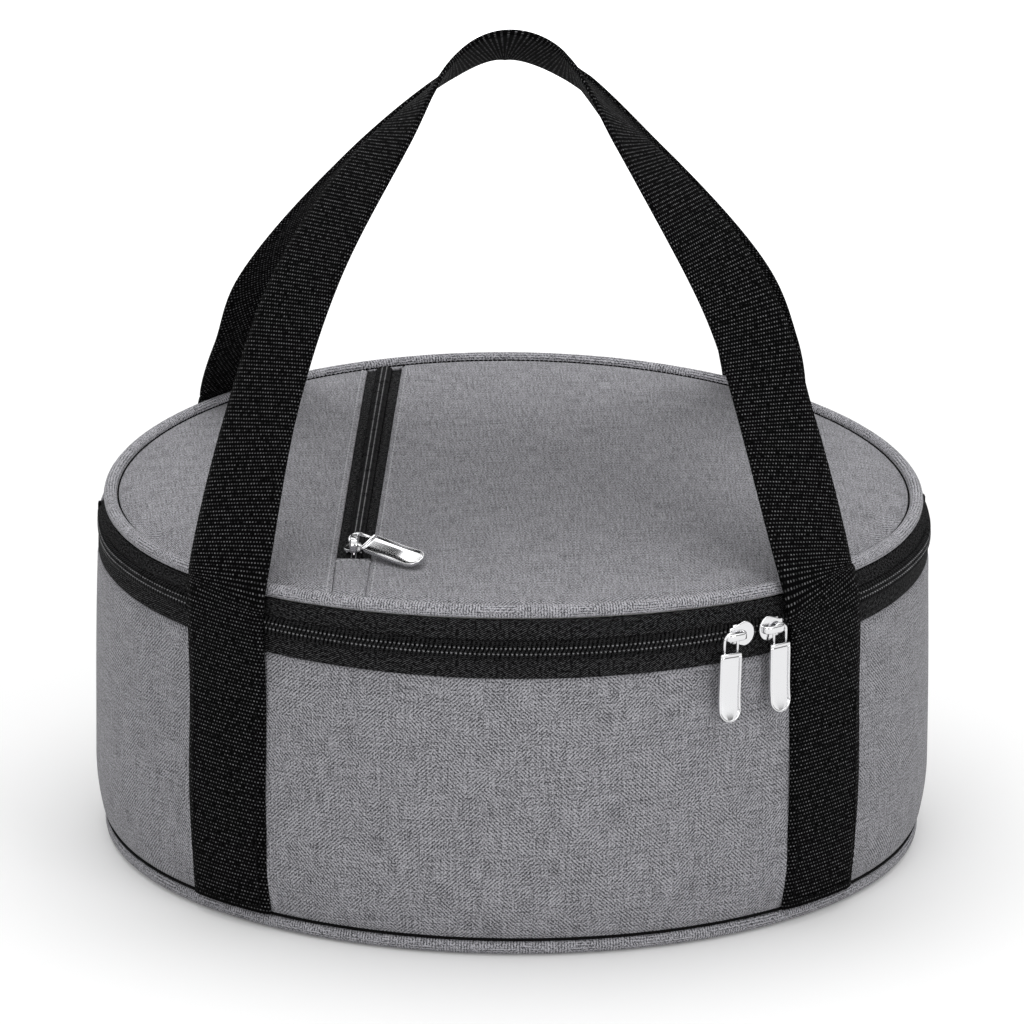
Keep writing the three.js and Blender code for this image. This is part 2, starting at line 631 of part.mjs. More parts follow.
addDrum();
addRimZip();
addBackBand();
addLidHalf('front');
addLidHalf('rear');
addLidBinding();
addRimSlider('left', LEFT_SLIDER_ANGLE, -1);
addRimSlider('right', RIGHT_SLIDER_ANGLE, 1);
addPocketSlider();
addAnchor('front_left_anchor', -FRONT_LEG_ANGLE);
addAnchor('front_right_anchor', FRONT_LEG_ANGLE);
addAnchor('back_left_anchor', BACK_LEG_ANGLE - 180);
addAnchor('back_right_anchor', 180 - BACK_LEG_ANGLE);
addHandle('front_handle_loop', FRONT_LEG_ANGLE, FRONT_LOOP);
addHandle('back_handle_loop', 180 - BACK_LEG_ANGLE, BACK_LOOP);

export default bag;
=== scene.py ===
"""Looks of a round insulated lunch bag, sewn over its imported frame.

Everything is in metres in the frame's own axes: +Z up, the front towards -Y. Angles round the drum are
measured from the front, positive towards +X. The file is laid out as an add-on and run as a script.
"""

import json
import math
from functools import cache

import bmesh
import bpy
import numpy as np
from mathutils import Matrix, Vector, noise
from mathutils.geometry import delaunay_2d_cdt


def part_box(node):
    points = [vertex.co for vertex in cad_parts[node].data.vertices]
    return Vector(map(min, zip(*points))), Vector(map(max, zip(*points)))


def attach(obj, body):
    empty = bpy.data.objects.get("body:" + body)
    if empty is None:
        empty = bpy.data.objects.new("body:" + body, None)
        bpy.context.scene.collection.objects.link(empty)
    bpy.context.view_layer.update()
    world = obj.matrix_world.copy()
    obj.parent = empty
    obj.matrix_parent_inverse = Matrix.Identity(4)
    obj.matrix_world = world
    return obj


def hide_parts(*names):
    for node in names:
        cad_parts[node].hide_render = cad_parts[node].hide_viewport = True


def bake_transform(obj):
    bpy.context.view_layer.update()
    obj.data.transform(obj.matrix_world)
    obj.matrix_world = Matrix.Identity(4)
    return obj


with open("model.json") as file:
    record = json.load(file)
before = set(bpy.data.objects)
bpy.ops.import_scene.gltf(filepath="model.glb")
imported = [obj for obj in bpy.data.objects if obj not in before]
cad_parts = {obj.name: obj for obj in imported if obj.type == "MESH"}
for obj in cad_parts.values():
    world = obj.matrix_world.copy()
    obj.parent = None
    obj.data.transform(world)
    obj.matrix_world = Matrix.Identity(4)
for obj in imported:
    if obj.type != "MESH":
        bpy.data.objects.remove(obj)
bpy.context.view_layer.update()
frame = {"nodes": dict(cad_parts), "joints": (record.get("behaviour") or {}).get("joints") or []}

bl_info = {
    "name": "Insulated lunch bag",
    "version": (1, 0, 0),
    "blender": (4, 5, 0),
    "location": "3D View > Sidebar > Lunch bag",
    "description": "Sews the cloth, zips, webbing and metal of a lunch bag over its packed frame",
    "category": "Object",
}

MM = 0.001
UP = Vector((0, 0, 1))


# Measures taken from the frame

@cache
def low(node):
    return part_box(node)[0]


@cache
def high(node):
    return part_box(node)[1]


@cache
def corners(node):
    return [vertex.co.copy() for vertex in frame["nodes"][node].data.vertices]


def centre(node):
    points = corners(node)
    return sum(points, Vector()) / len(points)


def angle_of(point):
    return math.atan2(point.x, -point.y)


@cache
def radii(node):
    lengths = [point.xy.length for point in corners(node)]
    return min(lengths), max(lengths)


def reach(node, origin, direction):
    """Nearest and farthest place of a node from a point, along a direction."""
    places = [(point - origin).dot(direction) for point in corners(node)]
    return min(places), max(places)


def joint(name):
    return next(item for item in frame["joints"] if item["name"] == name)


WALL_RADIUS = radii("wall_panel")[1]
WALL_BOTTOM = low("wall_panel").z
WALL_TOP = high("wall_panel").z
BAND_BOTTOM = low("lower_zip_tape").z
BAND_TOP = high("upper_zip_tape").z
TAPE_INNER, TAPE_OUTER = radii("lower_zip_tape")
TAPE_LEAN = TAPE_INNER - radii("upper_zip_tape")[0]
COIL_TOP = radii("lower_zip_coil")[1]
ZIP_MIDDLE = (high("lower_zip_coil").z + low("upper_zip_coil").z) / 2
ZIP_END = max(angle_of(point) for point in corners("lower_zip_tape"))
COIL_END = max(angle_of(point) for point in corners("lower_zip_coil"))
REAR_START = min(abs(angle_of(point)) for point in corners("back_band"))

LID_RADIUS = radii("lid_front_right_panel")[1]
LID_TOP = high("lid_front_right_panel").z
LID_BOTTOM = low("lid_front_right_panel").z

FRONT_LEG = abs(angle_of(centre("front_right_anchor")))
BACK_LEG = abs(angle_of(centre("back_right_anchor")))
LEG_ANGLES = (FRONT_LEG, -FRONT_LEG, BACK_LEG, -BACK_LEG)

POCKET_ORIGIN = Vector(joint("pocket_pull_swing")["pos_m"])
POCKET_ALONG = Vector(joint("pocket_slider_run")["axis"]).normalized()
POCKET_ACROSS = POCKET_ALONG.cross(UP)
SLOT_LEFT = reach("lid_front_left_panel", POCKET_ORIGIN, POCKET_ACROSS)[1]
SLOT_RIGHT = reach("lid_front_right_panel", POCKET_ORIGIN, POCKET_ACROSS)[0]
SLOT_FRONT = reach("pocket_front_left_tape", POCKET_ORIGIN, POCKET_ALONG)[0]
SLOT_BACK = reach("pocket_rear_left_tape", POCKET_ORIGIN, POCKET_ALONG)[1]
POCKET_TAPE_TOP = high("pocket_front_left_tape").z
POCKET_TAPE_LOW = low("pocket_front_left_tape").z


# Sizes and colours that a user would change

def length(name, description, default):
    return bpy.props.FloatProperty(
        name=name, description=description, default=default, subtype="DISTANCE", unit="LENGTH", precision=5
    )


def angle(name, description, degrees):
    return bpy.props.FloatProperty(
        name=name, description=description, default=math.radians(degrees), subtype="ANGLE", unit="ROTATION"
    )


def share(name, description, default):
    return bpy.props.FloatProperty(name=name, description=description, default=default, subtype="FACTOR")


def colour(name, description, default):
    return bpy.props.FloatVectorProperty(
        name=name, description=description, default=(*default, 1.0), size=4, subtype="COLOR", min=0, max=1
    )


class ClothSettings(bpy.types.PropertyGroup):
    dark: colour("Dark yarn", "Darkest yarn of the heathered cloth", (0.038, 0.038, 0.042))
    light: colour("Light yarn", "Lightest yarn of the heathered cloth", (0.43, 0.426, 0.455))
    yarn: length("Yarn pitch", "Distance between two lines of the cloth's hatching", 0.00105)
    crown: length("Lid crown", "Rise of the lid cloth between the pocket zip and the rim", 0.0016)
    dip: length("Rim dip", "Drop of the lid cloth beside its piping", 0.0013)
    waviness: length("Waviness", "Depth of the soft unevenness of the drum's cloth", 0.00025)
    side_drop: length("Side drop", "How far the lid's rim sags at its sides", 0.0047)
    rear_drop: length("Rear drop", "How far the lid's rim sags at the back", 0.0013)
    side_draw: length("Side draw", "How far the lid's rim draws in at its sides", 0.0015)
    foot_taper: length("Foot taper", "How far the drum draws in at its foot", 0.0032)


class ZipSettings(bpy.types.PropertyGroup):
    tape: colour("Tape", "Ground of the zip tapes", (0.0028, 0.0028, 0.003))
    tape_light: colour("Tape strokes", "Raised yarns of the zip tapes", (0.095, 0.095, 0.098))
    nylon: colour("Coil", "Nylon of the coils", (0.003, 0.003, 0.0033))
    # Coil crests is the colour of a painted highlight on the crest of each tooth.
    nylon_painted_glint: colour("Coil crests", "Polished crests of the coils' teeth", (0.32, 0.32, 0.33))
    pitch: length("Rim tooth pitch", "Distance between two teeth of a rim coil", 0.00166)
    pocket_pitch: length("Pocket tooth pitch", "Distance between two teeth of a pocket coil", 0.00140)
    wire: length("Coil wire", "Radius of the coils' nylon wire", 0.00042)


class WebbingSettings(bpy.types.PropertyGroup):
    ground: colour("Webbing ground", "Shaded yarns of the webbing", (0.0012, 0.0012, 0.0013))
    pick: colour("Webbing picks", "Raised yarns of the webbing", (0.17, 0.17, 0.175))
    width: length("Webbing width", "Width of the handles' webbing", 0.037)
    thickness: length("Webbing thickness", "Thickness of the webbing", 0.0017)
    rib: length("Rib pitch", "Distance between two ribs of the webbing", 0.00145)
    rib_depth: length("Rib depth", "Half the height of a rib", 0.00011)
    stitch: length("Stitch spacing", "Distance between two stitches of the sewn legs", 0.0032)


class MetalSettings(bpy.types.PropertyGroup):
    chrome: colour("Chrome", "Bright plating of the sliders and pulls", (0.95, 0.95, 0.955))
    pull_width: length("Pull width", "Width of a pull's plate", 0.0087)
    rim_pull: length("Rim pull", "From a rim pull's pivot to its tip", 0.0312)
    pocket_pull: length("Pocket pull", "From the pocket pull's pivot to its tip", 0.031)
    wire: length("Pull wire", "Radius of the wire loop at a pull's head", 0.00055)


class StageSettings(bpy.types.PropertyGroup):
    azimuth: angle("Camera azimuth", "Camera's turn from the bag's front", -2.8)
    elevation: angle("Camera elevation", "Camera's height above the bag", 18.36)
    roll: angle("Camera roll", "Camera's turn about its own view", 0.4)
    distance: length("Camera distance", "From the camera to the bag", 15.0)
    view_width: length("View width", "Width that the picture takes in at the bag", 0.3697)
    aim_height: length("Aim height", "Height that the camera looks at", 0.1194)
    ambient: share("Ambient", "Strength of the light from all around", 0.83)
    floor: colour("Floor", "Pale floor that takes the shadow", (0.8, 0.8, 0.8))


# Meshes

def polar(radius, turn, height):
    return Vector((radius * math.sin(turn), -radius * math.cos(turn), height))


def tangent(turn):
    return Vector((math.cos(turn), math.sin(turn), 0))


def smoothstep(value):
    value = min(max(value, 0.0), 1.0)
    return value * value * (3 - 2 * value)


def steps(start, end, size):
    """Even steps from start to end, none longer than size."""
    count = max(1, math.ceil(abs(end - start) / size))
    return [start + (end - start) * i / count for i in range(count + 1)]


def show(name, mesh, finish):
    """A smooth, outward-facing object of a mesh, in its finish."""
    shell = bmesh.new()
    shell.from_mesh(mesh)
    bmesh.ops.recalc_face_normals(shell, faces=shell.faces)
    shell.to_mesh(mesh)
    shell.free()
    mesh.polygons.foreach_set("use_smooth", [True] * len(mesh.polygons))
    mesh.materials.append(finish)
    piece = bpy.data.objects.new(name, mesh)
    bpy.context.scene.collection.objects.link(piece)
    return piece


def mesh_of(name, points, faces, uvs=None):
    """A mesh, with uvs as one pair for each corner of each face."""
    mesh = bpy.data.meshes.new(name)
    mesh.from_pydata(points, [], faces)
    if uvs:
        layer = mesh.uv_layers.new(name="Cloth")
        layer.data.foreach_set("uv", [value for pair in uvs for value in pair])
    return mesh


def skin_parts(rows, ring=False, along=None):
    """Points, faces and uvs of a skin over like closed sections. A uv is (along, round the section)."""
    count = len(rows[0])
    if along is None:
        along = [0.0]
        for before, after in zip(rows, rows[1:] + rows[:1]):
            along.append(along[-1] + (after[0] - before[0]).length)
    around = [0.0]
    for before, after in zip(rows[0], rows[0][1:] + rows[0][:1]):
        around.append(around[-1] + (after - before).length)
    faces = []
    uvs = []
    for i in range(len(rows) if ring else len(rows) - 1):
        near = i * count
        far = (i + 1) % len(rows) * count
        for j in range(count):
            k = (j + 1) % count
            faces.append((near + j, near + k, far + k, far + j))
            uvs += [(along[i], around[j]), (along[i], around[j + 1])]
            uvs += [(along[i + 1], around[j + 1]), (along[i + 1], around[j])]
    if not ring:
        for base, place in ((0, along[0]), ((len(rows) - 1) * count, along[len(rows) - 1])):
            for j in range(count // 2 - 1):
                face = (j, j + 1, count - 2 - j, count - 1 - j)
                faces.append(tuple(base + k for k in face))
                uvs += [(place, around[k]) for k in face]
    return [point for row in rows for point in row], faces, uvs


def skin(name, rows, finish, ring=False, along=None):
    return show(name, mesh_of(name, *skin_parts(rows, ring, along)), finish)


def strip_section(edge, thickness, points=9):
    """Section of a thin strip as (across, out) points, thinner at its edges. edge is half its width."""
    shares = [-1 + 2 * i / (points - 1) for i in range(points)]
    squeeze = [0.35 if abs(u) == 1 else 1.0 for u in shares]
    face = list(zip(shares, squeeze))
    return [(u * edge, s * thickness / 2) for u, s in face] + [
        (u * edge, -s * thickness / 2) for u, s in reversed(face)
    ]


def arc_band(name, section, start, end, finish, step=math.radians(1), ring=False):
    """A band round the drum. section gives (radius, height) points for a turn."""
    turns = steps(start, end, step)
    if ring:
        turns = turns[:-1]
    rows = [[polar(r, turn, z) for r, z in section(turn)] for turn in turns]
    radius = section(start)[0][0]
    along = [radius * (start + (end - start) * i / (len(turns) - (not ring))) for i in range(len(turns) + 1)]
    return skin(name, rows, finish, ring, along)


def circle_section(radius, height, tube, sides=14):
    turns = [2 * math.pi * i / sides for i in range(sides)]
    return [(radius + tube * math.cos(t), height + tube * math.sin(t)) for t in turns]


def sheet(name, outline, inner, height, thickness, finish):
    """A closed sheet over a flat convex outline with extra points inside it. height gives its top face."""
    flat = [Vector((p.x, p.y)) for p in outline + inner]
    found = delaunay_2d_cdt(flat, [], [list(range(len(outline)))], 1, 1e-7)
    places, faces, origins = found[0], found[2], found[3]
    where = {origin: i for i, group in enumerate(origins) for origin in group}
    edge = [where[i] for i in range(len(outline))]
    count = len(places)
    top = [Vector((p.x, p.y, height(p))) for p in places]
    under = [p - UP * thickness for p in top]
    skins = [tuple(face) for face in faces] + [tuple(count + i for i in reversed(face)) for face in faces]
    for i, j in zip(edge, edge[1:] + edge[:1]):
        skins.append((j, i, count + i, count + j))
    points = top + under
    uvs = [(points[i].x, points[i].y) for face in skins for i in face]
    return show(name, mesh_of(name, points, skins, uvs), finish)


def kept_inside(outline, points, margin):
    """The points that lie at least a margin inside a convex outline that turns to the left."""
    starts = np.array([tuple(p) for p in outline])
    sides = np.roll(starts, -1, axis=0) - starts
    places = np.array([tuple(p) for p in points])
    away = places[:, None, :] - starts[None, :, :]
    depth = sides[:, 0] * away[:, :, 1] - sides[:, 1] * away[:, :, 0]
    inside = (depth >= margin * np.linalg.norm(sides, axis=1)).all(axis=1)
    return [point for point, kept in zip(points, inside) if kept]


def grid_inside(outline, spacing, margin):
    xs = [p.x for p in outline]
    ys = [p.y for p in outline]
    points = []
    for number, y in enumerate(steps(min(ys), max(ys), spacing)):
        shift = spacing / 2 * (number % 2)
        points += [Vector((x + shift, y)) for x in steps(min(xs), max(xs), spacing)]
    return kept_inside(outline, points, margin)


def shrunk(outline, inset, spacing):
    """Points along an outline moved in by an inset, no nearer together than half a spacing."""
    middle = sum(outline, Vector((0, 0))) / len(outline)
    points = []
    for a, b in zip(outline, outline[1:] + outline[:1]):
        side = (b - a).normalized()
        inwards = Vector((-side.y, side.x))
        if (middle - a).dot(inwards) < 0:
            inwards = -inwards
        points += [a + side * s + inwards * inset for s in steps(0, (b - a).length, spacing)[:-1]]
    kept = []
    for point in kept_inside(outline, points, inset * 0.98):
        if not kept or (point - kept[-1]).length > spacing / 2:
            kept.append(point)
    return kept


def circle(radius, step=math.radians(1.2)):
    return [polar(radius, turn, 0).xy for turn in steps(0, 2 * math.pi, step)[:-1]]


def cut(outline, normal, limit):
    """Part of a convex outline where point . normal is at most limit."""
    kept = []
    for p, q in zip(outline, outline[1:] + outline[:1]):
        over_p = p.dot(normal) - limit
        over_q = q.dot(normal) - limit
        if over_p <= 0:
            kept.append(p)
        if over_p * over_q < 0:
            kept.append(p.lerp(q, over_p / (over_p - over_q)))
    return kept


def divided(outline, spacing):
    """The outline with points added along its long edges, so that it can bend."""
    points = []
    for a, b in zip(outline, outline[1:] + outline[:1]):
        count = max(1, math.ceil((b - a).length / spacing))
        points += [a.lerp(b, i / count) for i in range(count)]
    return points


def join(name, parts, finish):
    """One object of several (points, faces) shells."""
    points = []
    faces = []
    for shell_points, shell_faces in parts:
        base = len(points)
        points += shell_points
        faces += [tuple(base + i for i in face) for face in shell_faces]
    return show(name, mesh_of(name, points, faces), finish)


def tube(path, radius, sides=10):
    """Points and faces of a round wire along a path."""
    rows = []
    normal = None
    for i, point in enumerate(path):
        ahead = path[min(i + 1, len(path) - 1)]
        behind = path[max(i - 1, 0)]
        along = (ahead - behind).normalized()
        if normal is None:
            normal = along.orthogonal().normalized()
        normal = (normal - along * normal.dot(along)).normalized()
        side = along.cross(normal)
        turns = [2 * math.pi * j / sides for j in range(sides)]
        rows.append([point + radius * (normal * math.cos(t) + side * math.sin(t)) for t in turns])
    points, faces, _ = skin_parts(rows)
    return points, faces


def bevelled(outline, near, far, bevel, steps_round=3):
    """Points and faces of a plate with rounded edges. outline is (x, y), and near and far are on z."""
    shell = bmesh.new()
    bottom = [shell.verts.new((x, y, near)) for x, y in outline]
    face = shell.faces.new(bottom)
    made = bmesh.ops.extrude_face_region(shell, geom=[face])
    moved = [item for item in made["geom"] if isinstance(item, bmesh.types.BMVert)]
    bmesh.ops.translate(shell, verts=moved, vec=(0, 0, far - near))
    rims = [e for e in shell.edges if abs(e.verts[0].co.z - e.verts[1].co.z) < abs(far - near) / 2]
    bmesh.ops.bevel(shell, geom=rims, offset=bevel, segments=steps_round, affect="EDGES", profile=0.5)
    shell.verts.index_update()
    points = [vertex.co.copy() for vertex in shell.verts]
    faces = [tuple(vertex.index for vertex in item.verts) for item in shell.faces]
    shell.free()
    return points, faces


def moved(part, matrix):
    points, faces = part
    return [matrix @ point for point in points], faces


# Rows of like pieces along a path

def row_tree():
    """Geometry nodes that set copies of a piece along a path, at an even spacing and with a small wobble.

    A copy's own Z lies along the path and its X along the path's "out" attribute.
    """
    tree = bpy.data.node_groups.get("row_along_path")
    if tree:
        return tree
    tree = bpy.data.node_groups.new("row_along_path", "GeometryNodeTree")
    tree.is_modifier = True
    sockets = [
        ("Path", "NodeSocketGeometry"), ("Piece", "NodeSocketObject"), ("Spacing", "NodeSocketFloat"),
        ("Wobble", "NodeSocketFloat"), ("Seed", "NodeSocketInt"), ("Finish", "NodeSocketMaterial"),
    ]
    for name, kind in sockets:
        tree.interface.new_socket(name, in_out="INPUT", socket_type=kind)
    tree.interface.new_socket("Row", in_out="OUTPUT", socket_type="NodeSocketGeometry")
    wire = Wiring(tree)
    given = wire.add("NodeGroupInput").outputs
    out = wire.add("GeometryNodeInputNamedAttribute", data_type="FLOAT_VECTOR")
    out.inputs["Name"].default_value = "out"
    curve = wire.add("GeometryNodeMeshToCurve")
    wire.feed(curve.inputs["Mesh"], given["Path"])
    normal = wire.add("GeometryNodeSetCurveNormal", mode="FREE")
    wire.feed(normal.inputs["Curve"], curve.outputs["Curve"])
    wire.feed(normal.inputs["Normal"], out.outputs["Attribute"])
    places = wire.add("GeometryNodeCurveToPoints", mode="LENGTH")
    wire.feed(places.inputs["Curve"], normal.outputs["Curve"])
    wire.feed(places.inputs["Length"], given["Spacing"])
    chance = wire.add("FunctionNodeRandomValue", data_type="FLOAT_VECTOR")
    chance.inputs[0].default_value = (-1, -1, -1)
    wire.feed(chance.inputs["Seed"], given["Seed"])
    wobble = wire.vector("SCALE", chance.outputs[0], scale=given["Wobble"])
    turn = wire.add("FunctionNodeEulerToRotation")
    wire.feed(turn.inputs["Euler"], wobble)
    turned = wire.add("FunctionNodeRotateRotation", rotation_space="LOCAL")
    wire.feed(turned.inputs["Rotation"], places.outputs["Rotation"])
    wire.feed(turned.inputs["Rotate By"], turn.outputs["Rotation"])
    piece = wire.add("GeometryNodeObjectInfo")
    wire.feed(piece.inputs["Object"], given["Piece"])
    copies = wire.add("GeometryNodeInstanceOnPoints")
    wire.feed(copies.inputs["Points"], places.outputs["Points"])
    wire.feed(copies.inputs["Instance"], piece.outputs["Geometry"])
    wire.feed(copies.inputs["Rotation"], turned.outputs["Rotation"])
    real = wire.add("GeometryNodeRealizeInstances")
    wire.feed(real.inputs["Geometry"], copies.outputs["Instances"])
    painted = wire.add("GeometryNodeSetMaterial")
    wire.feed(painted.inputs["Geometry"], real.outputs["Geometry"])
    wire.feed(painted.inputs["Material"], given["Finish"])
    wire.feed(wire.add("NodeGroupOutput").inputs["Row"], painted.outputs["Geometry"])
    return tree


def row(name, paths, piece_part, spacing, finish, wobble=0.0, seed=1):
    """Copies of a small shell along paths, each a list of (point, out) pairs, as one plain mesh.

    The shell is its points and faces, and may have a mask named crest, which sets a painted highlight.
    """
    points = []
    edges = []
    outs = []
    for path in paths:
        base = len(points)
        points += [point for point, _ in path]
        outs += [out for _, out in path]
        edges += [(base + i, base + i + 1) for i in range(len(path) - 1)]
    mesh = bpy.data.meshes.new(name)
    mesh.from_pydata(points, edges, [])
    attribute = mesh.attributes.new("out", "FLOAT_VECTOR", "POINT")
    attribute.data.foreach_set("vector", [value for out in outs for value in out])
    strand = bpy.data.objects.new(name, mesh)
    bpy.context.scene.collection.objects.link(strand)
    shell_points, shell_faces, *masks = piece_part
    sample = show(name + "_sample", mesh_of(name + "_sample", shell_points, shell_faces), finish)
    for mask in masks:
        sample.data.attributes.new("crest", "FLOAT", "POINT").data.foreach_set("value", mask)
    tree = row_tree()
    modifier = strand.modifiers.new("row", "NODES")
    modifier.node_group = tree
    values = {"Piece": sample, "Spacing": spacing, "Wobble": wobble, "Seed": seed, "Finish": finish}
    for item in tree.interface.items_tree:
        if item.in_out == "INPUT" and item.name in values:
            modifier[item.identifier] = values[item.name]
    strand.update_tag()
    state = bpy.context.evaluated_depsgraph_get()
    result = bpy.data.meshes.new_from_object(strand.evaluated_get(state))
    strand.modifiers.clear()
    for object_used in (strand, sample):
        bpy.data.objects.remove(object_used)
    if "out" in result.attributes:
        result.attributes.remove(result.attributes["out"])
    result.materials.clear()
    return show(name, result, finish)


# Materials

class Wiring:
    """Adds nodes to one tree and wires them."""

    def __init__(self, tree):
        self.tree = tree

    def add(self, kind, **settings):
        made = self.tree.nodes.new(kind)
        for key, value in settings.items():
            setattr(made, key, value)
        return made

    def feed(self, socket, value):
        if isinstance(value, bpy.types.NodeSocket):
            self.tree.links.new(value, socket)
        else:
            socket.default_value = value

    def maths(self, operation, *values, clamp=False):
        made = self.add("ShaderNodeMath", operation=operation, use_clamp=clamp)
        for socket, value in zip(made.inputs, values):
            self.feed(socket, value)
        return made.outputs[0]

    def vector(self, operation, *values, scale=None):
        made = self.add("ShaderNodeVectorMath", operation=operation)
        for socket, value in zip(made.inputs, values):
            self.feed(socket, value)
        if scale is not None:
            self.feed(made.inputs["Scale"], scale)
        return made.outputs["Value" if operation == "LENGTH" else "Vector"]

    def mix(self, factor, first, second):
        made = self.add("ShaderNodeMix", data_type="RGBA")
        for index, value in ((0, factor), (6, first), (7, second)):
            self.feed(made.inputs[index], value)
        return made.outputs[2]

    def noise(self, place, scale, detail=2.0):
        made = self.add("ShaderNodeTexNoise")
        self.feed(made.inputs["Vector"], place)
        made.inputs["Scale"].default_value = scale
        made.inputs["Detail"].default_value = detail
        return made.outputs

    def split(self, place):
        made = self.add("ShaderNodeSeparateXYZ")
        self.feed(made.inputs[0], place)
        return made.outputs

    def ramp(self, value, start, end):
        """0 below start, 1 above end."""
        made = self.add("ShaderNodeMapRange", interpolation_type="SMOOTHSTEP")
        self.feed(made.inputs["Value"], value)
        made.inputs["From Min"].default_value = start
        made.inputs["From Max"].default_value = end
        return made.outputs["Result"]

    def wave(self, value, pitch):
        """A sine of a length in millimetres, between -1 and 1."""
        turn = self.maths("MULTIPLY", value, 2 * math.pi / pitch)
        return self.maths("SINE", turn)

    def group(self, tree, **values):
        made = self.add("ShaderNodeGroup", node_tree=tree)
        for name, value in values.items():
            self.feed(made.inputs[name], value)
        return made.outputs


def effect(name, inputs, outputs):
    """A new shader node group with its sockets and the wiring inside it."""
    tree = bpy.data.node_groups.new(name, "ShaderNodeTree")
    for socket, kind in inputs:
        tree.interface.new_socket(socket, in_out="INPUT", socket_type="NodeSocket" + kind)
    for socket, kind in outputs:
        tree.interface.new_socket(socket, in_out="OUTPUT", socket_type="NodeSocket" + kind)
    wire = Wiring(tree)
    return tree, wire, wire.add("NodeGroupInput").outputs, wire.add("NodeGroupOutput").inputs


def heather_effect():
    """Heathered weave: fine hatching whose slant changes from patch to patch, flecks and a few slubs.

    Place is in metres along the two yarns.
    """
    tree = bpy.data.node_groups.get("heather_weave")
    if tree:
        return tree
    inputs = [("Place", "Vector"), ("Pitch", "Float"), ("Dark", "Color"), ("Light", "Color")]
    tree, wire, given, out = effect("heather_weave", inputs, [("Color", "Color"), ("Height", "Float")])
    place = wire.vector("SCALE", given["Place"], scale=1 / MM)
    drift = wire.vector("SUBTRACT", wire.noise(place, 0.4, 1.0)["Color"], (0.5, 0.5, 0.5))
    u, v, _ = wire.split(wire.vector("ADD", place, wire.vector("SCALE", drift, scale=0.5)))
    rate = wire.maths("DIVIDE", 2 * math.pi * MM / math.sqrt(2), given["Pitch"])
    rising = wire.maths("SINE", wire.maths("MULTIPLY", wire.maths("SUBTRACT", u, v), rate))
    falling = wire.maths("SINE", wire.maths("MULTIPLY", wire.maths("ADD", u, v), rate))
    slant = wire.ramp(wire.noise(place, 0.06, 1.0)["Fac"], 0.44, 0.56)
    hatch = wire.maths("ADD", wire.maths("MULTIPLY", rising, slant),
                       wire.maths("MULTIPLY", falling, wire.maths("SUBTRACT", 1.0, slant)))
    fleck = wire.maths("SUBTRACT", wire.noise(place, 1.7, 3.0)["Fac"], 0.5)
    weft = wire.noise(wire.vector("MULTIPLY", place, (0.09, 1.3, 1)), 1.0, 1.0)["Fac"]
    warp = wire.noise(wire.vector("MULTIPLY", place, (1.3, 0.09, 1)), 1.0, 1.0)["Fac"]
    slubs = wire.maths("SUBTRACT", wire.maths("ADD", weft, warp), 1.0)
    mottle = wire.maths("SUBTRACT", wire.noise(place, 0.07, 2.0)["Fac"], 0.5)
    tone = wire.maths("MULTIPLY_ADD", hatch, 0.3, 0.48)
    tone = wire.maths("MULTIPLY_ADD", fleck, 3.0, tone)
    tone = wire.maths("MULTIPLY_ADD", slubs, 0.7, tone)
    tone = wire.maths("MULTIPLY_ADD", mottle, 0.15, tone)
    tone = wire.maths("ADD", tone, 0.0, clamp=True)
    wire.feed(out["Color"], wire.mix(tone, given["Dark"], given["Light"]))
    wire.feed(out["Height"], tone)
    return tree


def grain_effect():
    """Fine and coarse unevenness for roughness and bumps. Place is in metres, Scale in grains a metre."""
    tree = bpy.data.node_groups.get("surface_grain")
    if tree:
        return tree
    inputs = [("Place", "Vector"), ("Scale", "Float"), ("Low", "Float"), ("High", "Float")]
    tree, wire, given, out = effect("surface_grain", inputs, [("Value", "Float"), ("Height", "Float")])
    scaled = wire.vector("SCALE", given["Place"], scale=given["Scale"])
    fine = wire.noise(scaled, 1.0, 3.0)["Fac"]
    coarse = wire.noise(scaled, 0.17, 1.0)["Fac"]
    both = wire.maths("ADD", wire.maths("MULTIPLY", fine, 0.6), wire.maths("MULTIPLY", coarse, 0.4))
    spread = wire.maths("SUBTRACT", given["High"], given["Low"])
    value = wire.maths("ADD", wire.maths("MULTIPLY", wire.ramp(both, 0.35, 0.65), spread), given["Low"])
    wire.feed(out["Value"], value)
    wire.feed(out["Height"], both)
    return tree


def finish_named(name):
    """A new material, its wiring and its surface shader. One that exists already comes without the two."""
    found = bpy.data.materials.get(name)
    if found:
        return found, None, None
    made = bpy.data.materials.new(name)
    made.use_nodes = True
    wire = Wiring(made.node_tree)
    return made, wire, made.node_tree.nodes["Principled BSDF"]


def coordinates(wire, kind):
    return wire.add("ShaderNodeTexCoord").outputs[kind]


def raise_bumps(wire, shader, height, distance, strength=1.0):
    bump = wire.add("ShaderNodeBump")
    bump.inputs["Strength"].default_value = strength
    bump.inputs["Distance"].default_value = distance
    wire.feed(bump.inputs["Height"], height)
    wire.feed(shader.inputs["Normal"], bump.outputs["Normal"])


def grey_cloth(name="grey_cloth", turn=0.0, lift=1.0):
    """Heathered canvas. turn lays its yarns on the bias, and lift lightens all of it evenly, a painted light.
    """
    made, wire, shader = finish_named(name)
    if wire is None:
        return made
    cloth = bpy.context.scene.bag_cloth
    mapping = wire.add("ShaderNodeMapping")
    wire.feed(mapping.inputs["Vector"], coordinates(wire, "UV"))
    mapping.inputs["Rotation"].default_value[2] = turn
    weave = wire.group(heather_effect(), Place=mapping.outputs["Vector"], Pitch=cloth.yarn,
                       Dark=[part * lift for part in cloth.dark],
                       Light=[part * lift for part in cloth.light])
    wire.feed(shader.inputs["Base Color"], weave["Color"])
    shader.inputs["Roughness"].default_value = 0.9
    shader.inputs["Specular IOR Level"].default_value = 0.2
    shader.inputs["Sheen Weight"].default_value = 0.12
    shader.inputs["Sheen Roughness"].default_value = 0.5
    raise_bumps(wire, shader, weave["Height"], 0.00012)
    return made


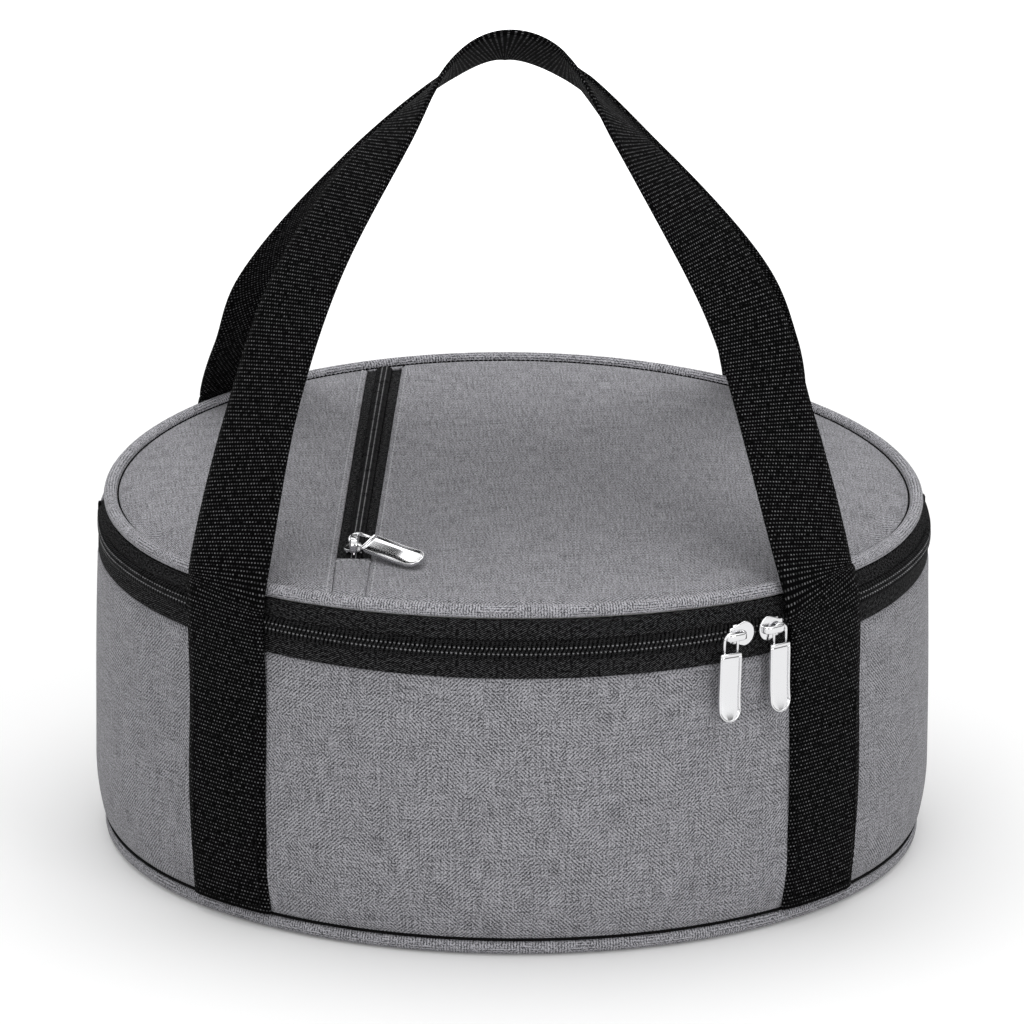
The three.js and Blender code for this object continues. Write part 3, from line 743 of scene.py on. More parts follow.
def piping_cloth():
    # Painted light: the piping is the grey cloth made 1.18 times lighter, to offset the shade on its rounded
    # cord.
    return grey_cloth("piping_cloth", math.radians(45), 1.18)


def lining_cloth():
    made, wire, shader = finish_named("lining_cloth")
    if wire is None:
        return made
    weave = wire.group(heather_effect(), Place=coordinates(wire, "UV"), Pitch=0.0006,
                       Dark=(0.03, 0.03, 0.033, 1), Light=(0.10, 0.10, 0.11, 1))
    wire.feed(shader.inputs["Base Color"], weave["Color"])
    shader.inputs["Roughness"].default_value = 0.7
    raise_bumps(wire, shader, weave["Height"], 0.00006)
    return made


def zip_tape_weave():
    """Black twill: slanted strokes of raised yarn, broken up and drifting a little."""
    made, wire, shader = finish_named("zip_tape_weave")
    if wire is None:
        return made
    zips = bpy.context.scene.bag_zip
    place = wire.vector("SCALE", coordinates(wire, "UV"), scale=1 / MM)
    along, across, _ = wire.split(place)
    slant = wire.maths("ADD", along, wire.maths("MULTIPLY", across, -1.9))
    drift = wire.noise(place, 0.35, 1.0)["Fac"]
    stroke = wire.wave(wire.maths("ADD", slant, wire.maths("MULTIPLY", drift, 1.3)), 1.45)
    break_up = wire.noise(wire.vector("MULTIPLY", place, (0.9, 0.9, 1)), 1.0, 2.0)["Fac"]
    lift = wire.maths("MULTIPLY", wire.ramp(stroke, -0.1, 0.9), wire.ramp(break_up, 0.34, 0.68))
    wire.feed(shader.inputs["Base Color"], wire.mix(lift, zips.tape, zips.tape_light))
    shader.inputs["Roughness"].default_value = 0.8
    shader.inputs["Specular IOR Level"].default_value = 0.03
    raise_bumps(wire, shader, lift, 0.00010)
    return made


def webbing_weave():
    """Black ribbed webbing: bright picks stand in rows along each rib."""
    made, wire, shader = finish_named("webbing_weave")
    if wire is None:
        return made
    webbing = bpy.context.scene.bag_webbing
    place = wire.vector("SCALE", coordinates(wire, "UV"), scale=1 / MM)
    along, across, _ = wire.split(place)
    rib = webbing.rib / MM
    pick = 1.36
    row_number = wire.maths("FLOOR", wire.maths("ADD", wire.maths("DIVIDE", along, rib), 0.5))
    shift = wire.maths("MULTIPLY", wire.maths("MODULO", row_number, 2.0), pick / 2)
    rows = wire.maths("COSINE", wire.maths("MULTIPLY", along, 2 * math.pi / rib))
    picks = wire.wave(wire.maths("ADD", across, shift), pick)
    chance = wire.noise(place, 0.5, 3.0)["Fac"]
    dots = wire.maths("MULTIPLY", wire.ramp(rows, 0.1, 0.9), wire.ramp(picks, -0.35, 0.6))
    lit = wire.maths("MULTIPLY", dots, wire.ramp(chance, 0.32, 0.7))
    wire.feed(shader.inputs["Base Color"], wire.mix(lit, webbing.ground, webbing.pick))
    shader.inputs["Roughness"].default_value = 0.7
    shader.inputs["Specular IOR Level"].default_value = 0.02
    raise_bumps(wire, shader, wire.maths("ADD", dots, wire.maths("MULTIPLY", rows, 0.3)), 0.00014)
    return made


def grained(name, base, metallic, rough, scale, depth, specular=0.5):
    """A plain finish whose gloss and surface vary a little."""
    made, wire, shader = finish_named(name)
    if wire is None:
        return made
    grain = wire.group(grain_effect(), Place=coordinates(wire, "Object"), Scale=scale,
                       Low=rough[0], High=rough[1])
    shader.inputs["Base Color"].default_value = base
    shader.inputs["Metallic"].default_value = metallic
    shader.inputs["Specular IOR Level"].default_value = specular
    wire.feed(shader.inputs["Roughness"], grain["Value"])
    raise_bumps(wire, shader, grain["Height"], depth)
    return made


def coil_nylon():
    """Black nylon, with a painted highlight on the crest of each tooth."""
    made, wire, shader = finish_named("coil_nylon")
    if wire is None:
        return made
    zips = bpy.context.scene.bag_zip
    crest = wire.add("ShaderNodeAttribute", attribute_name="crest").outputs["Fac"]
    grain = wire.group(grain_effect(), Place=coordinates(wire, "Object"), Scale=1500, Low=0.25, High=0.4)
    # Painted highlight: the crest mask, broken up by the grain, lightens the base colour.
    painted_glint = wire.maths("MULTIPLY", crest, wire.ramp(grain["Height"], 0.2, 0.6))
    wire.feed(shader.inputs["Base Color"], wire.mix(painted_glint, zips.nylon, zips.nylon_painted_glint))
    wire.feed(shader.inputs["Roughness"], grain["Value"])
    shader.inputs["Specular IOR Level"].default_value = 0.04
    raise_bumps(wire, shader, grain["Height"], 0.00002)
    return made


def chrome():
    return grained("chrome", bpy.context.scene.bag_metal.chrome, 1.0, (0.05, 0.09), 600, 0.000001)


def insulating_foil():
    """Crinkled silver liner."""
    made, wire, shader = finish_named("insulating_foil")
    if wire is None:
        return made
    place = coordinates(wire, "Object")
    grain = wire.group(grain_effect(), Place=place, Scale=140.0, Low=0.24, High=0.42)
    folds = wire.add("ShaderNodeTexVoronoi", feature="DISTANCE_TO_EDGE")
    wire.feed(folds.inputs["Vector"], place)
    folds.inputs["Scale"].default_value = 90.0
    crease = wire.maths("POWER", folds.outputs["Distance"], 0.5)
    # Painted shade: the base colour is darker along the creases of the crinkle.
    wire.feed(shader.inputs["Base Color"], wire.mix(crease, (0.50, 0.51, 0.53, 1), (0.68, 0.69, 0.71, 1)))
    wire.feed(shader.inputs["Roughness"], grain["Value"])
    shader.inputs["Metallic"].default_value = 0.85
    raise_bumps(wire, shader, wire.maths("ADD", crease, grain["Height"]), 0.0006)
    return made


def foam_core():
    return grained("foam_core", (0.78, 0.77, 0.72, 1), 0.0, (0.85, 0.95), 900, 0.0002, 0.2)


def stiff_board():
    return grained("stiff_board", (0.05, 0.05, 0.052, 1), 0.0, (0.6, 0.75), 500, 0.00005, 0.3)


def grey_thread():
    return grained("grey_thread", (0.42, 0.42, 0.44, 1), 0.0, (0.6, 0.8), 2500, 0.00005, 0.3)


# This black finish is the colour of real thread, and also of the painted shade laid in the foot's seam.
def black_thread_and_seam_shade():
    return grained("black_thread_and_seam_shade", (0.003, 0.003, 0.0032, 1), 0.0, (0.6, 0.75), 2500, 0.00005, 0.05)


# Drum

def waves(turn, height):
    """Soft unevenness of the wall's cloth, still where the straps are sewn down."""
    depth = bpy.context.scene.bag_cloth.waviness
    apart = min(abs(math.remainder(turn - leg, 2 * math.pi)) for leg in LEG_ANGLES)
    free = smoothstep((apart - math.radians(7)) / math.radians(9))
    place = Vector((math.sin(turn), math.cos(turn), height / WALL_RADIUS))
    return depth * free * noise.noise(place * 4.5)


def foot_taper(height):
    """How far the drum draws in at a height, on its round way down to the piped foot."""
    left = min(max(1 - (height - WALL_BOTTOM) / (22 * MM), 0), 1)
    return bpy.context.scene.bag_cloth.foot_taper * left ** 2


def wall_section(turn):
    """Wall cloth: slightly fuller at half height, rolled in at its top and bottom seams."""
    heights = steps(WALL_BOTTOM, WALL_BOTTOM + 4 * MM, 0.8 * MM)
    heights += steps(WALL_BOTTOM + 6 * MM, WALL_TOP - 4 * MM, 2.8 * MM)
    heights += steps(WALL_TOP - 3 * MM, WALL_TOP, 0.8 * MM)
    thickness = 0.9 * MM
    fullness = 0.35 * MM
    outer = []
    for z in heights:
        share_up = (z - WALL_BOTTOM) / (WALL_TOP - WALL_BOTTOM)
        belly = fullness * math.sin(math.pi * share_up)
        seam = min(z - WALL_BOTTOM, WALL_TOP - z)
        roll = thickness * (1 - smoothstep(seam / (3 * MM)))
        wave = waves(turn, z) * smoothstep(seam / (12 * MM))
        outer.append((WALL_RADIUS - foot_taper(z) - roll + belly + wave, z))
    backing = [(WALL_RADIUS - foot_taper(z) - thickness, z) for z in reversed(heights)]
    return outer + backing


def make_wall():
    wall = arc_band("wall_cloth", wall_section, 0, 2 * math.pi, grey_cloth(), math.radians(0.75), True)
    finish_piece(wall, "shell", "cloth", "wall_panel")

    base_radius = high("base_panel").x - foot_taper(0)
    outline = circle(base_radius)
    base = sheet("base_cloth", outline, grid_inside(outline, 6 * MM, 3 * MM), base_height,
                 high("base_panel").z, grey_cloth())
    finish_piece(base, "shell", "cloth", "base_panel")

    radius, middle, thickness = piping_size("base_piping")
    cord = piped_edge("base_piping_cord", radius - foot_taper(0), middle, thickness)
    finish_piece(cord, "shell", "piping", "base_piping")
    # Painted shade: a black cord laid in the crease at the foot's seam stands for the shadow there.
    seam = circle_section(WALL_RADIUS - foot_taper(0) - 0.7 * MM, WALL_BOTTOM - 0.1 * MM, 0.6 * MM, 8)
    seam_shadow = arc_band("base_seam_thread", lambda turn: seam, 0, 2 * math.pi, black_thread_and_seam_shade(), ring=True)
    finish_piece(seam_shadow, "shell", "zip_tape")

    band = arc_band("back_band_cloth", back_band_section, REAR_START, 2 * math.pi - REAR_START, grey_cloth())
    finish_piece(settle(band), "shell", "cloth", "back_band")


def base_height(place):
    return high("base_panel").z - 0.2 * MM * smoothstep((place.length / high("base_panel").x - 0.94) / 0.04)


def piping_size(node):
    """Radius of a piping's ring, its height, and the radius of its cord, which the solid has eight-sided."""
    bottom = low(node).z
    top = high(node).z
    inner, outer = radii(node)
    return (inner + outer) / 2, (bottom + top) / 2, (top - bottom) / 2 / math.cos(math.pi / 8)


def piped_edge(name, radius, height, thickness):
    """A round cord covered in cloth, a little uneven along its length."""
    def section(turn):
        place = Vector((math.sin(turn), math.cos(turn), height)) * 30
        swell = 1 - 0.035 * abs(noise.noise(place))
        return circle_section(radius, height, thickness * swell)
    return arc_band(name, section, 0, 2 * math.pi, piping_cloth(), math.radians(0.75), True)


def back_band_section(turn):
    return leaning_section(BAND_BOTTOM - 0.2 * MM, BAND_TOP)


def leaning_section(bottom, top):
    """Strip between the wall and the lid's piping: upright below, leaning in towards the lid."""
    bend = high("back_band_liner").z
    heights = [bottom, bottom + 0.25 * MM, *steps(bottom + MM, top - MM, 2 * MM), top - 0.25 * MM, top]
    outer = []
    for z in heights:
        edge = 0.25 * MM if z in (bottom, top) else 0
        outer.append((TAPE_OUTER - edge - TAPE_LEAN * max(0, (z - bend) / (BAND_TOP - bend)), z))
    inner = [(r - 0.8 * MM + (0.5 * MM if z in (bottom, top) else 0), z) for r, z in reversed(outer)]
    return outer + inner


def finish_piece(piece, body, slot, *nodes):
    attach(piece, body)
    stand_for(piece, slot, *nodes)


def settle(piece):
    """Gives a piece of the lid, or of the strip below it, the lid's sag at the back and the sides."""
    cloth = bpy.context.scene.bag_cloth
    rim_only = 6
    for vertex in piece.data.vertices:
        place = vertex.co
        turn = angle_of(place)
        above_zip = smoothstep((place.z - ZIP_MIDDLE) / (BAND_TOP - ZIP_MIDDLE))
        at_rim = above_zip * min(place.xy.length / LID_RADIUS, 1) ** rim_only
        sideways = math.sin(turn) ** 2
        place.z -= at_rim * (cloth.rear_drop * (1 - math.cos(turn)) / 2 + cloth.side_drop * sideways)
        place.x *= 1 - at_rim * sideways * cloth.side_draw / LID_RADIUS
    return piece


def bend_with_lid(piece, slot, *nodes):
    """The piece sags with the lid, and the nodes it stands for are hidden."""
    settle(piece)
    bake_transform(piece)
    stand_for(piece, slot, *nodes)


def stand_for(piece, slot, *nodes):
    if nodes:
        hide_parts(*nodes)


# Lid

def pocket_place(across, along):
    point = POCKET_ORIGIN + POCKET_ACROSS * across + POCKET_ALONG * along
    return point.xy


def pocket_across(place):
    return (place.to_3d() - POCKET_ORIGIN.xy.to_3d()).dot(POCKET_ACROSS)


def lid_height(place):
    """Lid cloth: flat beside the pocket zip, crowned away from it and pulled down at the rim."""
    cloth = bpy.context.scene.bag_cloth
    across = pocket_across(place)
    from_slot = max(SLOT_LEFT - across, across - SLOT_RIGHT, 0)
    from_rim = LID_RADIUS - place.length
    crown = cloth.crown * smoothstep(from_slot / (60 * MM)) * smoothstep(from_rim / (70 * MM))
    dip = cloth.dip * (1 - smoothstep(from_rim / (6 * MM)))
    hem_turn = 0.55 * MM
    hem = hem_turn * (1 - smoothstep(from_slot / (0.9 * MM)))
    unevenness = 0.25 * MM
    waver = unevenness * noise.noise(Vector((place.x, place.y, 0)) * 22) * smoothstep(from_slot / (12 * MM))
    return LID_TOP + crown - dip - hem + waver * smoothstep(from_rim / (15 * MM))


def lid_side(name, side, nodes):
    """Lid cloth on one side of the pocket zip."""
    edge = SLOT_RIGHT if side > 0 else SLOT_LEFT
    normal = (POCKET_ACROSS * -side).xy
    limit = POCKET_ORIGIN.xy.dot(normal) - side * edge
    outline = divided(cut(circle(LID_RADIUS), normal, limit), 3 * MM)
    insets = (0.35 * MM, 1.0 * MM, 2.2 * MM, 4.0 * MM)
    inner = [point for inset in insets for point in shrunk(outline, inset, 2.5 * MM)]
    inner += grid_inside(outline, 3 * MM, 5.5 * MM)
    cloth = sheet(name, outline, inner, lid_height, LID_TOP - LID_BOTTOM, grey_cloth())
    bend_with_lid(cloth, "cloth", *nodes)
    area = outline_area(outline)


def outline_area(outline):
    pairs = zip(outline, outline[1:] + outline[:1])
    return abs(sum(a.x * b.y - a.y * b.x for a, b in pairs)) / 2


def patch_outline(end):
    """Small cloth patch over an end of the pocket zip, between the lid's two panels and out to the rim."""
    facing = 1 if end == "back" else -1
    edge = SLOT_BACK if end == "back" else SLOT_FRONT
    gap = 0.15 * MM
    outline = circle(LID_RADIUS, math.radians(0.5))
    for normal, place in ((POCKET_ACROSS, SLOT_RIGHT - gap), (-POCKET_ACROSS, -SLOT_LEFT - gap),
                          (-POCKET_ALONG * facing, -facing * edge)):
        outline = cut(outline, normal.xy, POCKET_ORIGIN.dot(normal) - POCKET_ORIGIN.z * normal.z + place)
    return outline


def patch_height(place):
    from_rim = LID_RADIUS - place.length
    dip = bpy.context.scene.bag_cloth.dip * (1 - smoothstep(from_rim / (6 * MM)))
    return LID_TOP - 0.1 * MM - dip


def make_lid():
    patches = []
    for end, body, half in (("front", "lid_flap", "front"), ("back", "shell", "rear")):
        outline = patch_outline(end)
        inner = grid_inside(outline, 1.5 * MM, 0.5 * MM)
        patch = sheet(f"pocket_{end}_patch_cloth", outline, inner, patch_height, LID_TOP - LID_BOTTOM,
                      grey_cloth())
        finish_piece(settle(patch), body, "cloth", f"pocket_{half}_patch")
        patches.append(patch)
    for name, side, sewn in (("left", -1, []), ("right", 1, patches)):
        nodes = [f"lid_{half}_{name}_panel" for half in ("front", "rear")]
        lid_side(f"lid_{name}_cloth", side, nodes)
    cord = piped_edge("lid_piping_cord", *piping_size("lid_front_piping"))
    bend_with_lid(cord, "piping", "lid_front_piping", "lid_rear_piping")
    # The black stitches round the lid's seam are real thread, and also stand for the shade in the crease
    # beside the piping, a partly painted shade.
    ring = [polar(LID_RADIUS, turn, 0) for turn in steps(0, 2 * math.pi, math.radians(1))]
    path = [(point + UP * (LID_TOP - 1.2 * MM), UP) for point in ring]
    shape = stitch_shape(1.2 * MM, 0.3 * MM)
    stitches = row("lid_seam_stitches", [path], shape, 1.7 * MM, black_thread_and_seam_shade(), 0.1, 9)
    bend_with_lid(stitches, "zip_tape")


# Zips

def tooth(width, rise, wire, slant):
    """One turn of a coil, from the middle of the zip over the top and down to the tape, and its crest mask,
    which sets a painted highlight.

    Its path is along Z, outwards is X, and Y points away from the middle of the zip. Each point of shape is
    its share of the width, its share of the rise and the strength of the painted highlight on the crest.
    """
    shape = [
        (-0.14, 0.25, 0), (-0.10, 0.70, 0.02), (0.12, 0.96, 0.05), (0.22, 1.0, 0.08), (0.30, 1.0, 1),
        (0.38, 1.0, 0.08), (0.60, 0.95, 0.02), (0.84, 0.78, 0.07), (1.0, 0.22, 0),
    ]
    sides = 6
    path = [Vector((rise * out, width * across, slant * (0.5 - across))) for across, out, _ in shape]
    points, faces = tube(path, wire, sides)
    return points, faces, [crest for _, _, crest in shape for _ in range(sides)]


def rim_path(start, end, height):
    """Path of a coil on the tapes, sinking under the band at both of its ends."""
    path = []
    depth = 1.7 * MM
    first = math.radians(74)
    ramp = math.radians(18)
    for turn in steps(start, end, math.radians(1)):
        sunk = depth * smoothstep((abs(turn) - first) / ramp)
        path.append((polar(TAPE_OUTER - sunk, turn, height), polar(1, turn, 0)))
    return path


def lower_tape_section(turn):
    return upright_section(BAND_BOTTOM - 0.2 * MM, high("lower_zip_tape").z)


def upright_section(bottom, top):
    heights = [bottom, bottom + 0.25 * MM, *steps(bottom + MM, top - MM, 2 * MM), top - 0.25 * MM, top]
    outer = [(TAPE_OUTER - (0.3 * MM if z in (bottom, top) else 0), z) for z in heights]
    inner = [(TAPE_INNER + (0.3 * MM if z in (bottom, top) else 0), z) for z in reversed(heights)]
    return outer + inner


def upper_tape_section(turn):
    return leaning_section(low("upper_zip_tape").z, BAND_TOP + 0.2 * MM)


def make_rim_zip():
    zips = bpy.context.scene.bag_zip
    lower = arc_band("lower_tape_weave", lower_tape_section, -ZIP_END, ZIP_END, zip_tape_weave())
    finish_piece(lower, "shell", "zip_tape", "lower_zip_tape")
    upper = arc_band("upper_tape_weave", upper_tape_section, -ZIP_END, ZIP_END, zip_tape_weave())
    bend_with_lid(upper, "zip_tape", "upper_zip_tape")

    half = zips.pitch / TAPE_OUTER / 2
    rise = COIL_TOP - TAPE_OUTER - zips.wire
    shape = tooth(width=3.6 * MM, rise=rise, wire=zips.wire, slant=0.8 * MM)
    lower_path = rim_path(-COIL_END, COIL_END, ZIP_MIDDLE)
    upper_path = rim_path(COIL_END - half, -COIL_END, ZIP_MIDDLE)
    lower_coil = row("lower_coil_teeth", [lower_path], shape, zips.pitch, coil_nylon())
    finish_piece(lower_coil, "shell", "nylon", "lower_zip_coil")
    upper_coil = row("upper_coil_teeth", [upper_path], shape, zips.pitch, coil_nylon())
    bend_with_lid(upper_coil, "nylon", "upper_zip_coil")
    for name in ("zip_stop_left", "zip_stop_right"):
        places = rim_frame(angle_of(centre(name)), ZIP_MIDDLE)
        outline = [(u * 1.4 * MM, v * 3.2 * MM) for u, v in ((-1, -1), (1, -1), (1, 1), (-1, 1))]
        part = moved(bevelled(outline, near=-0.7 * MM, far=0.3 * MM, bevel=0.3 * MM), places)
        stop = join(f"{name}_nylon", [part], coil_nylon())
        finish_piece(stop, "shell", "nylon", name)


def paint(node, finish):
    """A node whose own shape stays gets its finish."""
    mesh = frame["nodes"][node].data
    mesh.materials.clear()
    mesh.materials.append(finish)


POCKET_TAPE_WIDTH = 10.3 * MM


def pocket_tape(name, side):
    """Tape on one side of the pocket zip, its outer edge under the lid cloth."""
    from_middle = 0.5 * MM
    half = POCKET_TAPE_WIDTH / 2
    middle = side * (from_middle + half)
    height = (POCKET_TAPE_TOP + POCKET_TAPE_LOW) / 2
    section = strip_section(half, POCKET_TAPE_TOP - POCKET_TAPE_LOW, 5)
    rows = []
    for along in steps(SLOT_FRONT, SLOT_BACK, 3 * MM):
        rows.append([pocket_place(middle + a, along).to_3d() + UP * (height + b) for a, b in section])
    tape = skin(f"pocket_{name}_tape_weave", rows, zip_tape_weave())
    bend_with_lid(tape, "zip_tape", *[f"pocket_{end}_{name}_tape" for end in ("front", "rear")])


def make_pocket_zip():
    zips = bpy.context.scene.bag_zip
    rise = high("pocket_front_left_coil").z - POCKET_TAPE_TOP - zips.wire
    shape = tooth(width=2.7 * MM, rise=rise, wire=zips.wire * 0.9, slant=0.6 * MM)
    lines = {"left": (SLOT_BACK, SLOT_FRONT + zips.pocket_pitch / 2), "right": (SLOT_FRONT, SLOT_BACK)}
    for name, side in (("left", -1), ("right", 1)):
        pocket_tape(name, side)
        start, end = lines[name]
        path = [(pocket_place(0, s).to_3d() + UP * POCKET_TAPE_TOP, UP) for s in steps(start, end, 4 * MM)]
        coil = row(f"pocket_{name}_coil_teeth", [path], shape, zips.pocket_pitch, coil_nylon())
        bend_with_lid(coil, "nylon", *[f"pocket_{half}_{name}_coil" for half in ("front", "rear")])
    make_topstitching()


def stitch_shape(long, radius):
    """One stitch lying along Z, its ends dipping into the cloth."""
    shape = [(-0.5, -1.2), (-0.36, 0.1), (0, 0.5), (0.36, 0.1), (0.5, -1.2)]
    path = [Vector((radius * out, 0, long * along)) for along, out in shape]
    return tube(path, radius, 6)


def make_topstitching():
    """Grey topstitching beside both edges of the pocket slot, on to the rim, and a bow on the front patch."""
    spacing = 3.3 * MM
    rim = 3.5 * MM
    paths = []
    for across in (SLOT_LEFT - 1.8 * MM, SLOT_RIGHT + 1.8 * MM):
        reach_front = front_of_rim(across) + rim
        places = [pocket_place(across, s) for s in steps(reach_front, SLOT_BACK, 3 * MM)]
        paths.append([(p.to_3d() + UP * (lid_height(p) + 0.05 * MM), UP) for p in places])
    shape = stitch_shape(1.9 * MM, 0.24 * MM)
    stitches = row("pocket_topstitching", paths, shape, spacing, grey_thread(), 0.05, 3)
    bend_with_lid(stitches, "piping")
    shares = [-1 + 2 * i / 10 for i in range(11)]
    half = (SLOT_RIGHT - SLOT_LEFT) / 2 - 0.6 * MM
    bow = [pocket_place(half * u, SLOT_FRONT - (1.8 + 1.6 * u * u) * MM) for u in shares]
    curve = [(p.to_3d() + UP * (patch_height(p) + 0.05 * MM), UP) for p in bow]
    shape = stitch_shape(1.6 * MM, 0.28 * MM)
    patch = row("patch_topstitching", [curve], shape, 2.3 * MM, grey_thread(), 0.05, 5)
    finish_piece(settle(patch), "lid_flap", "piping")


def front_of_rim(across):
    """Where a line beside the pocket zip meets the lid cloth's edge at the front."""
    start = pocket_place(across, 0)
    along = POCKET_ALONG.xy
    shift = start.dot(along)
    return -shift - math.sqrt(LID_RADIUS ** 2 - start.length_squared + shift ** 2)


# Handles

# Guide points of the straps in millimetres. A sewn leg has its standoff from the wall, its height, and its
# share of the slide that draws the free strap along the rim. A free half has places and its width's turn.
# The two loops' numbers come from a curve fit to the straps' edges in the photograph, some moved one by one.
LEG_GUIDES = [
    (1.2, 6.3, 0), (1.2, 45, 0), (1.2, 84, 0), (1.9, 100, 0.1),
    (2.9, 114, 0.35), (2.9, 121, 0.6), (1.6, 131, 1),
]
FRONT_LOOP = {
    "right": [(91.2, -76.7, 178.0, 0), (77.8, -55.7, 216.6, 0), (41.8, -30.5, 266.9, 0.46),
              (16.8, -10.3, 291.4, 0.92)],
    "left": [(95.6, -76.7, 179.8, 0.17), (76.8, -49.6, 226.9, 0.23), (47.6, -25.3, 267.6, 0.47),
             (23.2, -10.3, 291.2, 0.92)],
    "slide": {"right": 5.4, "left": 0}, "top": (-4.2, -9.6, 299.5), "tilt": 34,
}
BACK_LOOP = {
    "right": [(91.6, 95.7, 160.0, 0), (81.8, 80.0, 187.7, 0), (47.9, 48.5, 243.1, 0.53),
              (20.0, 28.6, 278.7, 0.9)],
    "left": [(89.4, 95.6, 160.0, 0), (83.0, 81.0, 185.8, 0), (47.9, 46.2, 247.7, 0.58),
             (20.0, 28.6, 278.7, 0.9)],
    "slide": {"right": -0.4, "left": -3.0}, "top": (0, 22.3, 289.7), "tilt": 18,
}


def wall_sag():
    half = bpy.context.scene.bag_webbing.width / 2
    return WALL_RADIUS * (1 - math.cos(half / WALL_RADIUS))


def half_guides(leg, loop, side):
    """Guide rows (place, width direction, sag) of one half of a handle, from its sewn foot to its top."""
    name = "right" if side > 0 else "left"
    sag = wall_sag()
    mirror = Vector((side, 1, 1))
    width = tangent(leg)
    tilt = math.radians(loop["tilt"])
    top = Vector((0, math.cos(tilt), -math.sin(tilt)))
    guides = []
    for out, z, slid in LEG_GUIDES:
        foot = polar(WALL_RADIUS + out * MM - foot_taper(z * MM), leg, z * MM)
        guides.append((foot - width * loop["slide"][name] * slid * MM, width, sag))
    for number, (x, y, z, turned) in enumerate(loop[name]):
        guides.append((Vector((x, y, z)) * MM, width.lerp(top, turned), 0.0 if number else sag * 0.3))
    guides.append((Vector(loop["top"]) * MM * mirror, top, 0.0))
    return [(place * mirror, across * mirror, bent) for place, across, bent in guides]


def spline(guides, step):
    """Rows of (place, width direction, sag) every step along a centripetal curve through the guides."""
    values = np.array([[*place, *across, sag] for place, across, sag in guides])
    values = np.vstack([2 * values[0] - values[1], values, 2 * values[-1] - values[-2]])
    gaps = np.linalg.norm(np.diff(values[:, :3], axis=0), axis=1) ** 0.5
    knots = np.concatenate([[0], np.cumsum(gaps)])
    dense = []
    for i in range(1, len(values) - 2):
        for t in np.linspace(knots[i], knots[i + 1], 60, endpoint=False):
            dense.append(between(values[i - 1:i + 3], knots[i - 1:i + 3], t))
    dense.append(values[-2])
    dense = np.array(dense)
    far = np.concatenate([[0], np.cumsum(np.linalg.norm(np.diff(dense[:, :3], axis=0), axis=1))])
    count = int(round(far[-1] / step))
    even = np.linspace(0, far[-1], count + 1)
    rows = np.array([np.interp(even, far, dense[:, k]) for k in range(dense.shape[1])]).T
    return [(Vector(r[:3]), Vector(r[3:6]), r[6]) for r in rows], far[-1]


def between(points, knots, t):
    """Value at t of the curve through the middle two of four points."""
    def mix(a, b, i, j):
        return ((knots[j] - t) * a + (t - knots[i]) * b) / (knots[j] - knots[i])

    first, middle, last = [mix(points[i], points[i + 1], i, i + 1) for i in range(3)]
    return mix(mix(first, middle, 0, 2), mix(middle, last, 1, 3), 1, 2)


def strap(name, guides):
    """Ribbed webbing along guide rows. Its length runs along U."""
    webbing = bpy.context.scene.bag_webbing
    rows, total = spline(guides, webbing.rib / 2)
    section = strip_section(webbing.width / 2, webbing.thickness, 14)
    skins = []
    places = []
    for i, (place, across, sag) in enumerate(rows):
        ahead = rows[min(i + 1, len(rows) - 1)][0]
        behind = rows[max(i - 1, 0)][0]
        along = (ahead - behind).normalized()
        width = (across - along * across.dot(along)).normalized()
        out = width.cross(along)
        rib = webbing.rib_depth * (1 if i % 2 == 0 else -1)
        half = webbing.width / 2
        skins.append([
            place + width * u + out * (t + math.copysign(rib, t) - sag * (u / half) ** 2) for u, t in section
        ])
        places.append(i * webbing.rib / 2)
    return skin(name, skins, webbing_weave(), along=places), total


def leg_point(leg, across, height, out):
    """A place on the outer face of a sewn leg, and its outward direction."""
    half = bpy.context.scene.bag_webbing.width / 2
    standoff = LEG_GUIDES[0][0] * MM - foot_taper(height)
    radius = WALL_RADIUS + standoff + out - wall_sag() * (across / half) ** 2
    return polar(radius, leg, height) + tangent(leg) * across, polar(1, leg, 0)


def make_handles():
    webbing = bpy.context.scene.bag_webbing
    handles = (("front", FRONT_LEG, FRONT_LOOP), ("back", BACK_LEG, BACK_LOOP))
    for name, leg, loop in handles:
        right = half_guides(leg, loop, 1)
        left = half_guides(leg, loop, -1)
        piece, total = strap(f"{name}_handle_webbing", right + left[-2::-1])
        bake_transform(piece)
        stand_for(piece, "webbing", f"{name}_handle_loop", f"{name}_left_anchor", f"{name}_right_anchor")
    inset = webbing.width / 2 - 3 * MM
    foot = 9 * MM
    head = 82 * MM
    paths = []
    for leg in LEG_ANGLES:
        box = [(-inset, foot), (inset, foot), (inset, head), (-inset, head), (-inset, foot)]
        path = []
        for (u, z), (u_next, z_next) in zip(box, box[1:]):
            for s in steps(0, 1, 0.05)[:-1]:
                across = u + (u_next - u) * s
                path.append(leg_point(leg, across, z + (z_next - z) * s, webbing.thickness / 2 + 0.12 * MM))
        paths.append(path)
    shape = stitch_shape(2.4 * MM, 0.26 * MM)
    stitches = row("leg_stitches", paths, shape, webbing.stitch, black_thread_and_seam_shade(), 0.05, 7)
    finish_piece(stitches, "shell", "webbing")


# Metal

def rim_frame(turn, height):
    """Axes of a rim slider: x along the zip to the right, y up, z outwards."""
    matrix = Matrix((tangent(turn), UP, polar(1, turn, 0))).transposed().to_4x4()
    matrix.translation = polar(TAPE_OUTER, turn, height)
    return matrix


def slider_outline(side, long, wide):
    """Shield shape of a slider's plate: round at its nose on the given side, narrow at its tail."""
    points = []
    half = wide / 2
    nose = long / 2 - half * 0.92
    for i in range(17):
        t = -math.pi / 2 + math.pi * i / 16
        points.append((nose + half * 0.92 * math.cos(t), half * math.sin(t)))
    points += [(-long * 0.16, half * 0.80), (-long * 0.36, half * 0.62), (-long * 0.5, half * 0.60)]
    points += [(-long * 0.5, -half * 0.60), (-long * 0.36, -half * 0.62), (-long * 0.16, -half * 0.80)]
    if side < 0:
        points = [(-x, y) for x, y in reversed(points)]
    return points


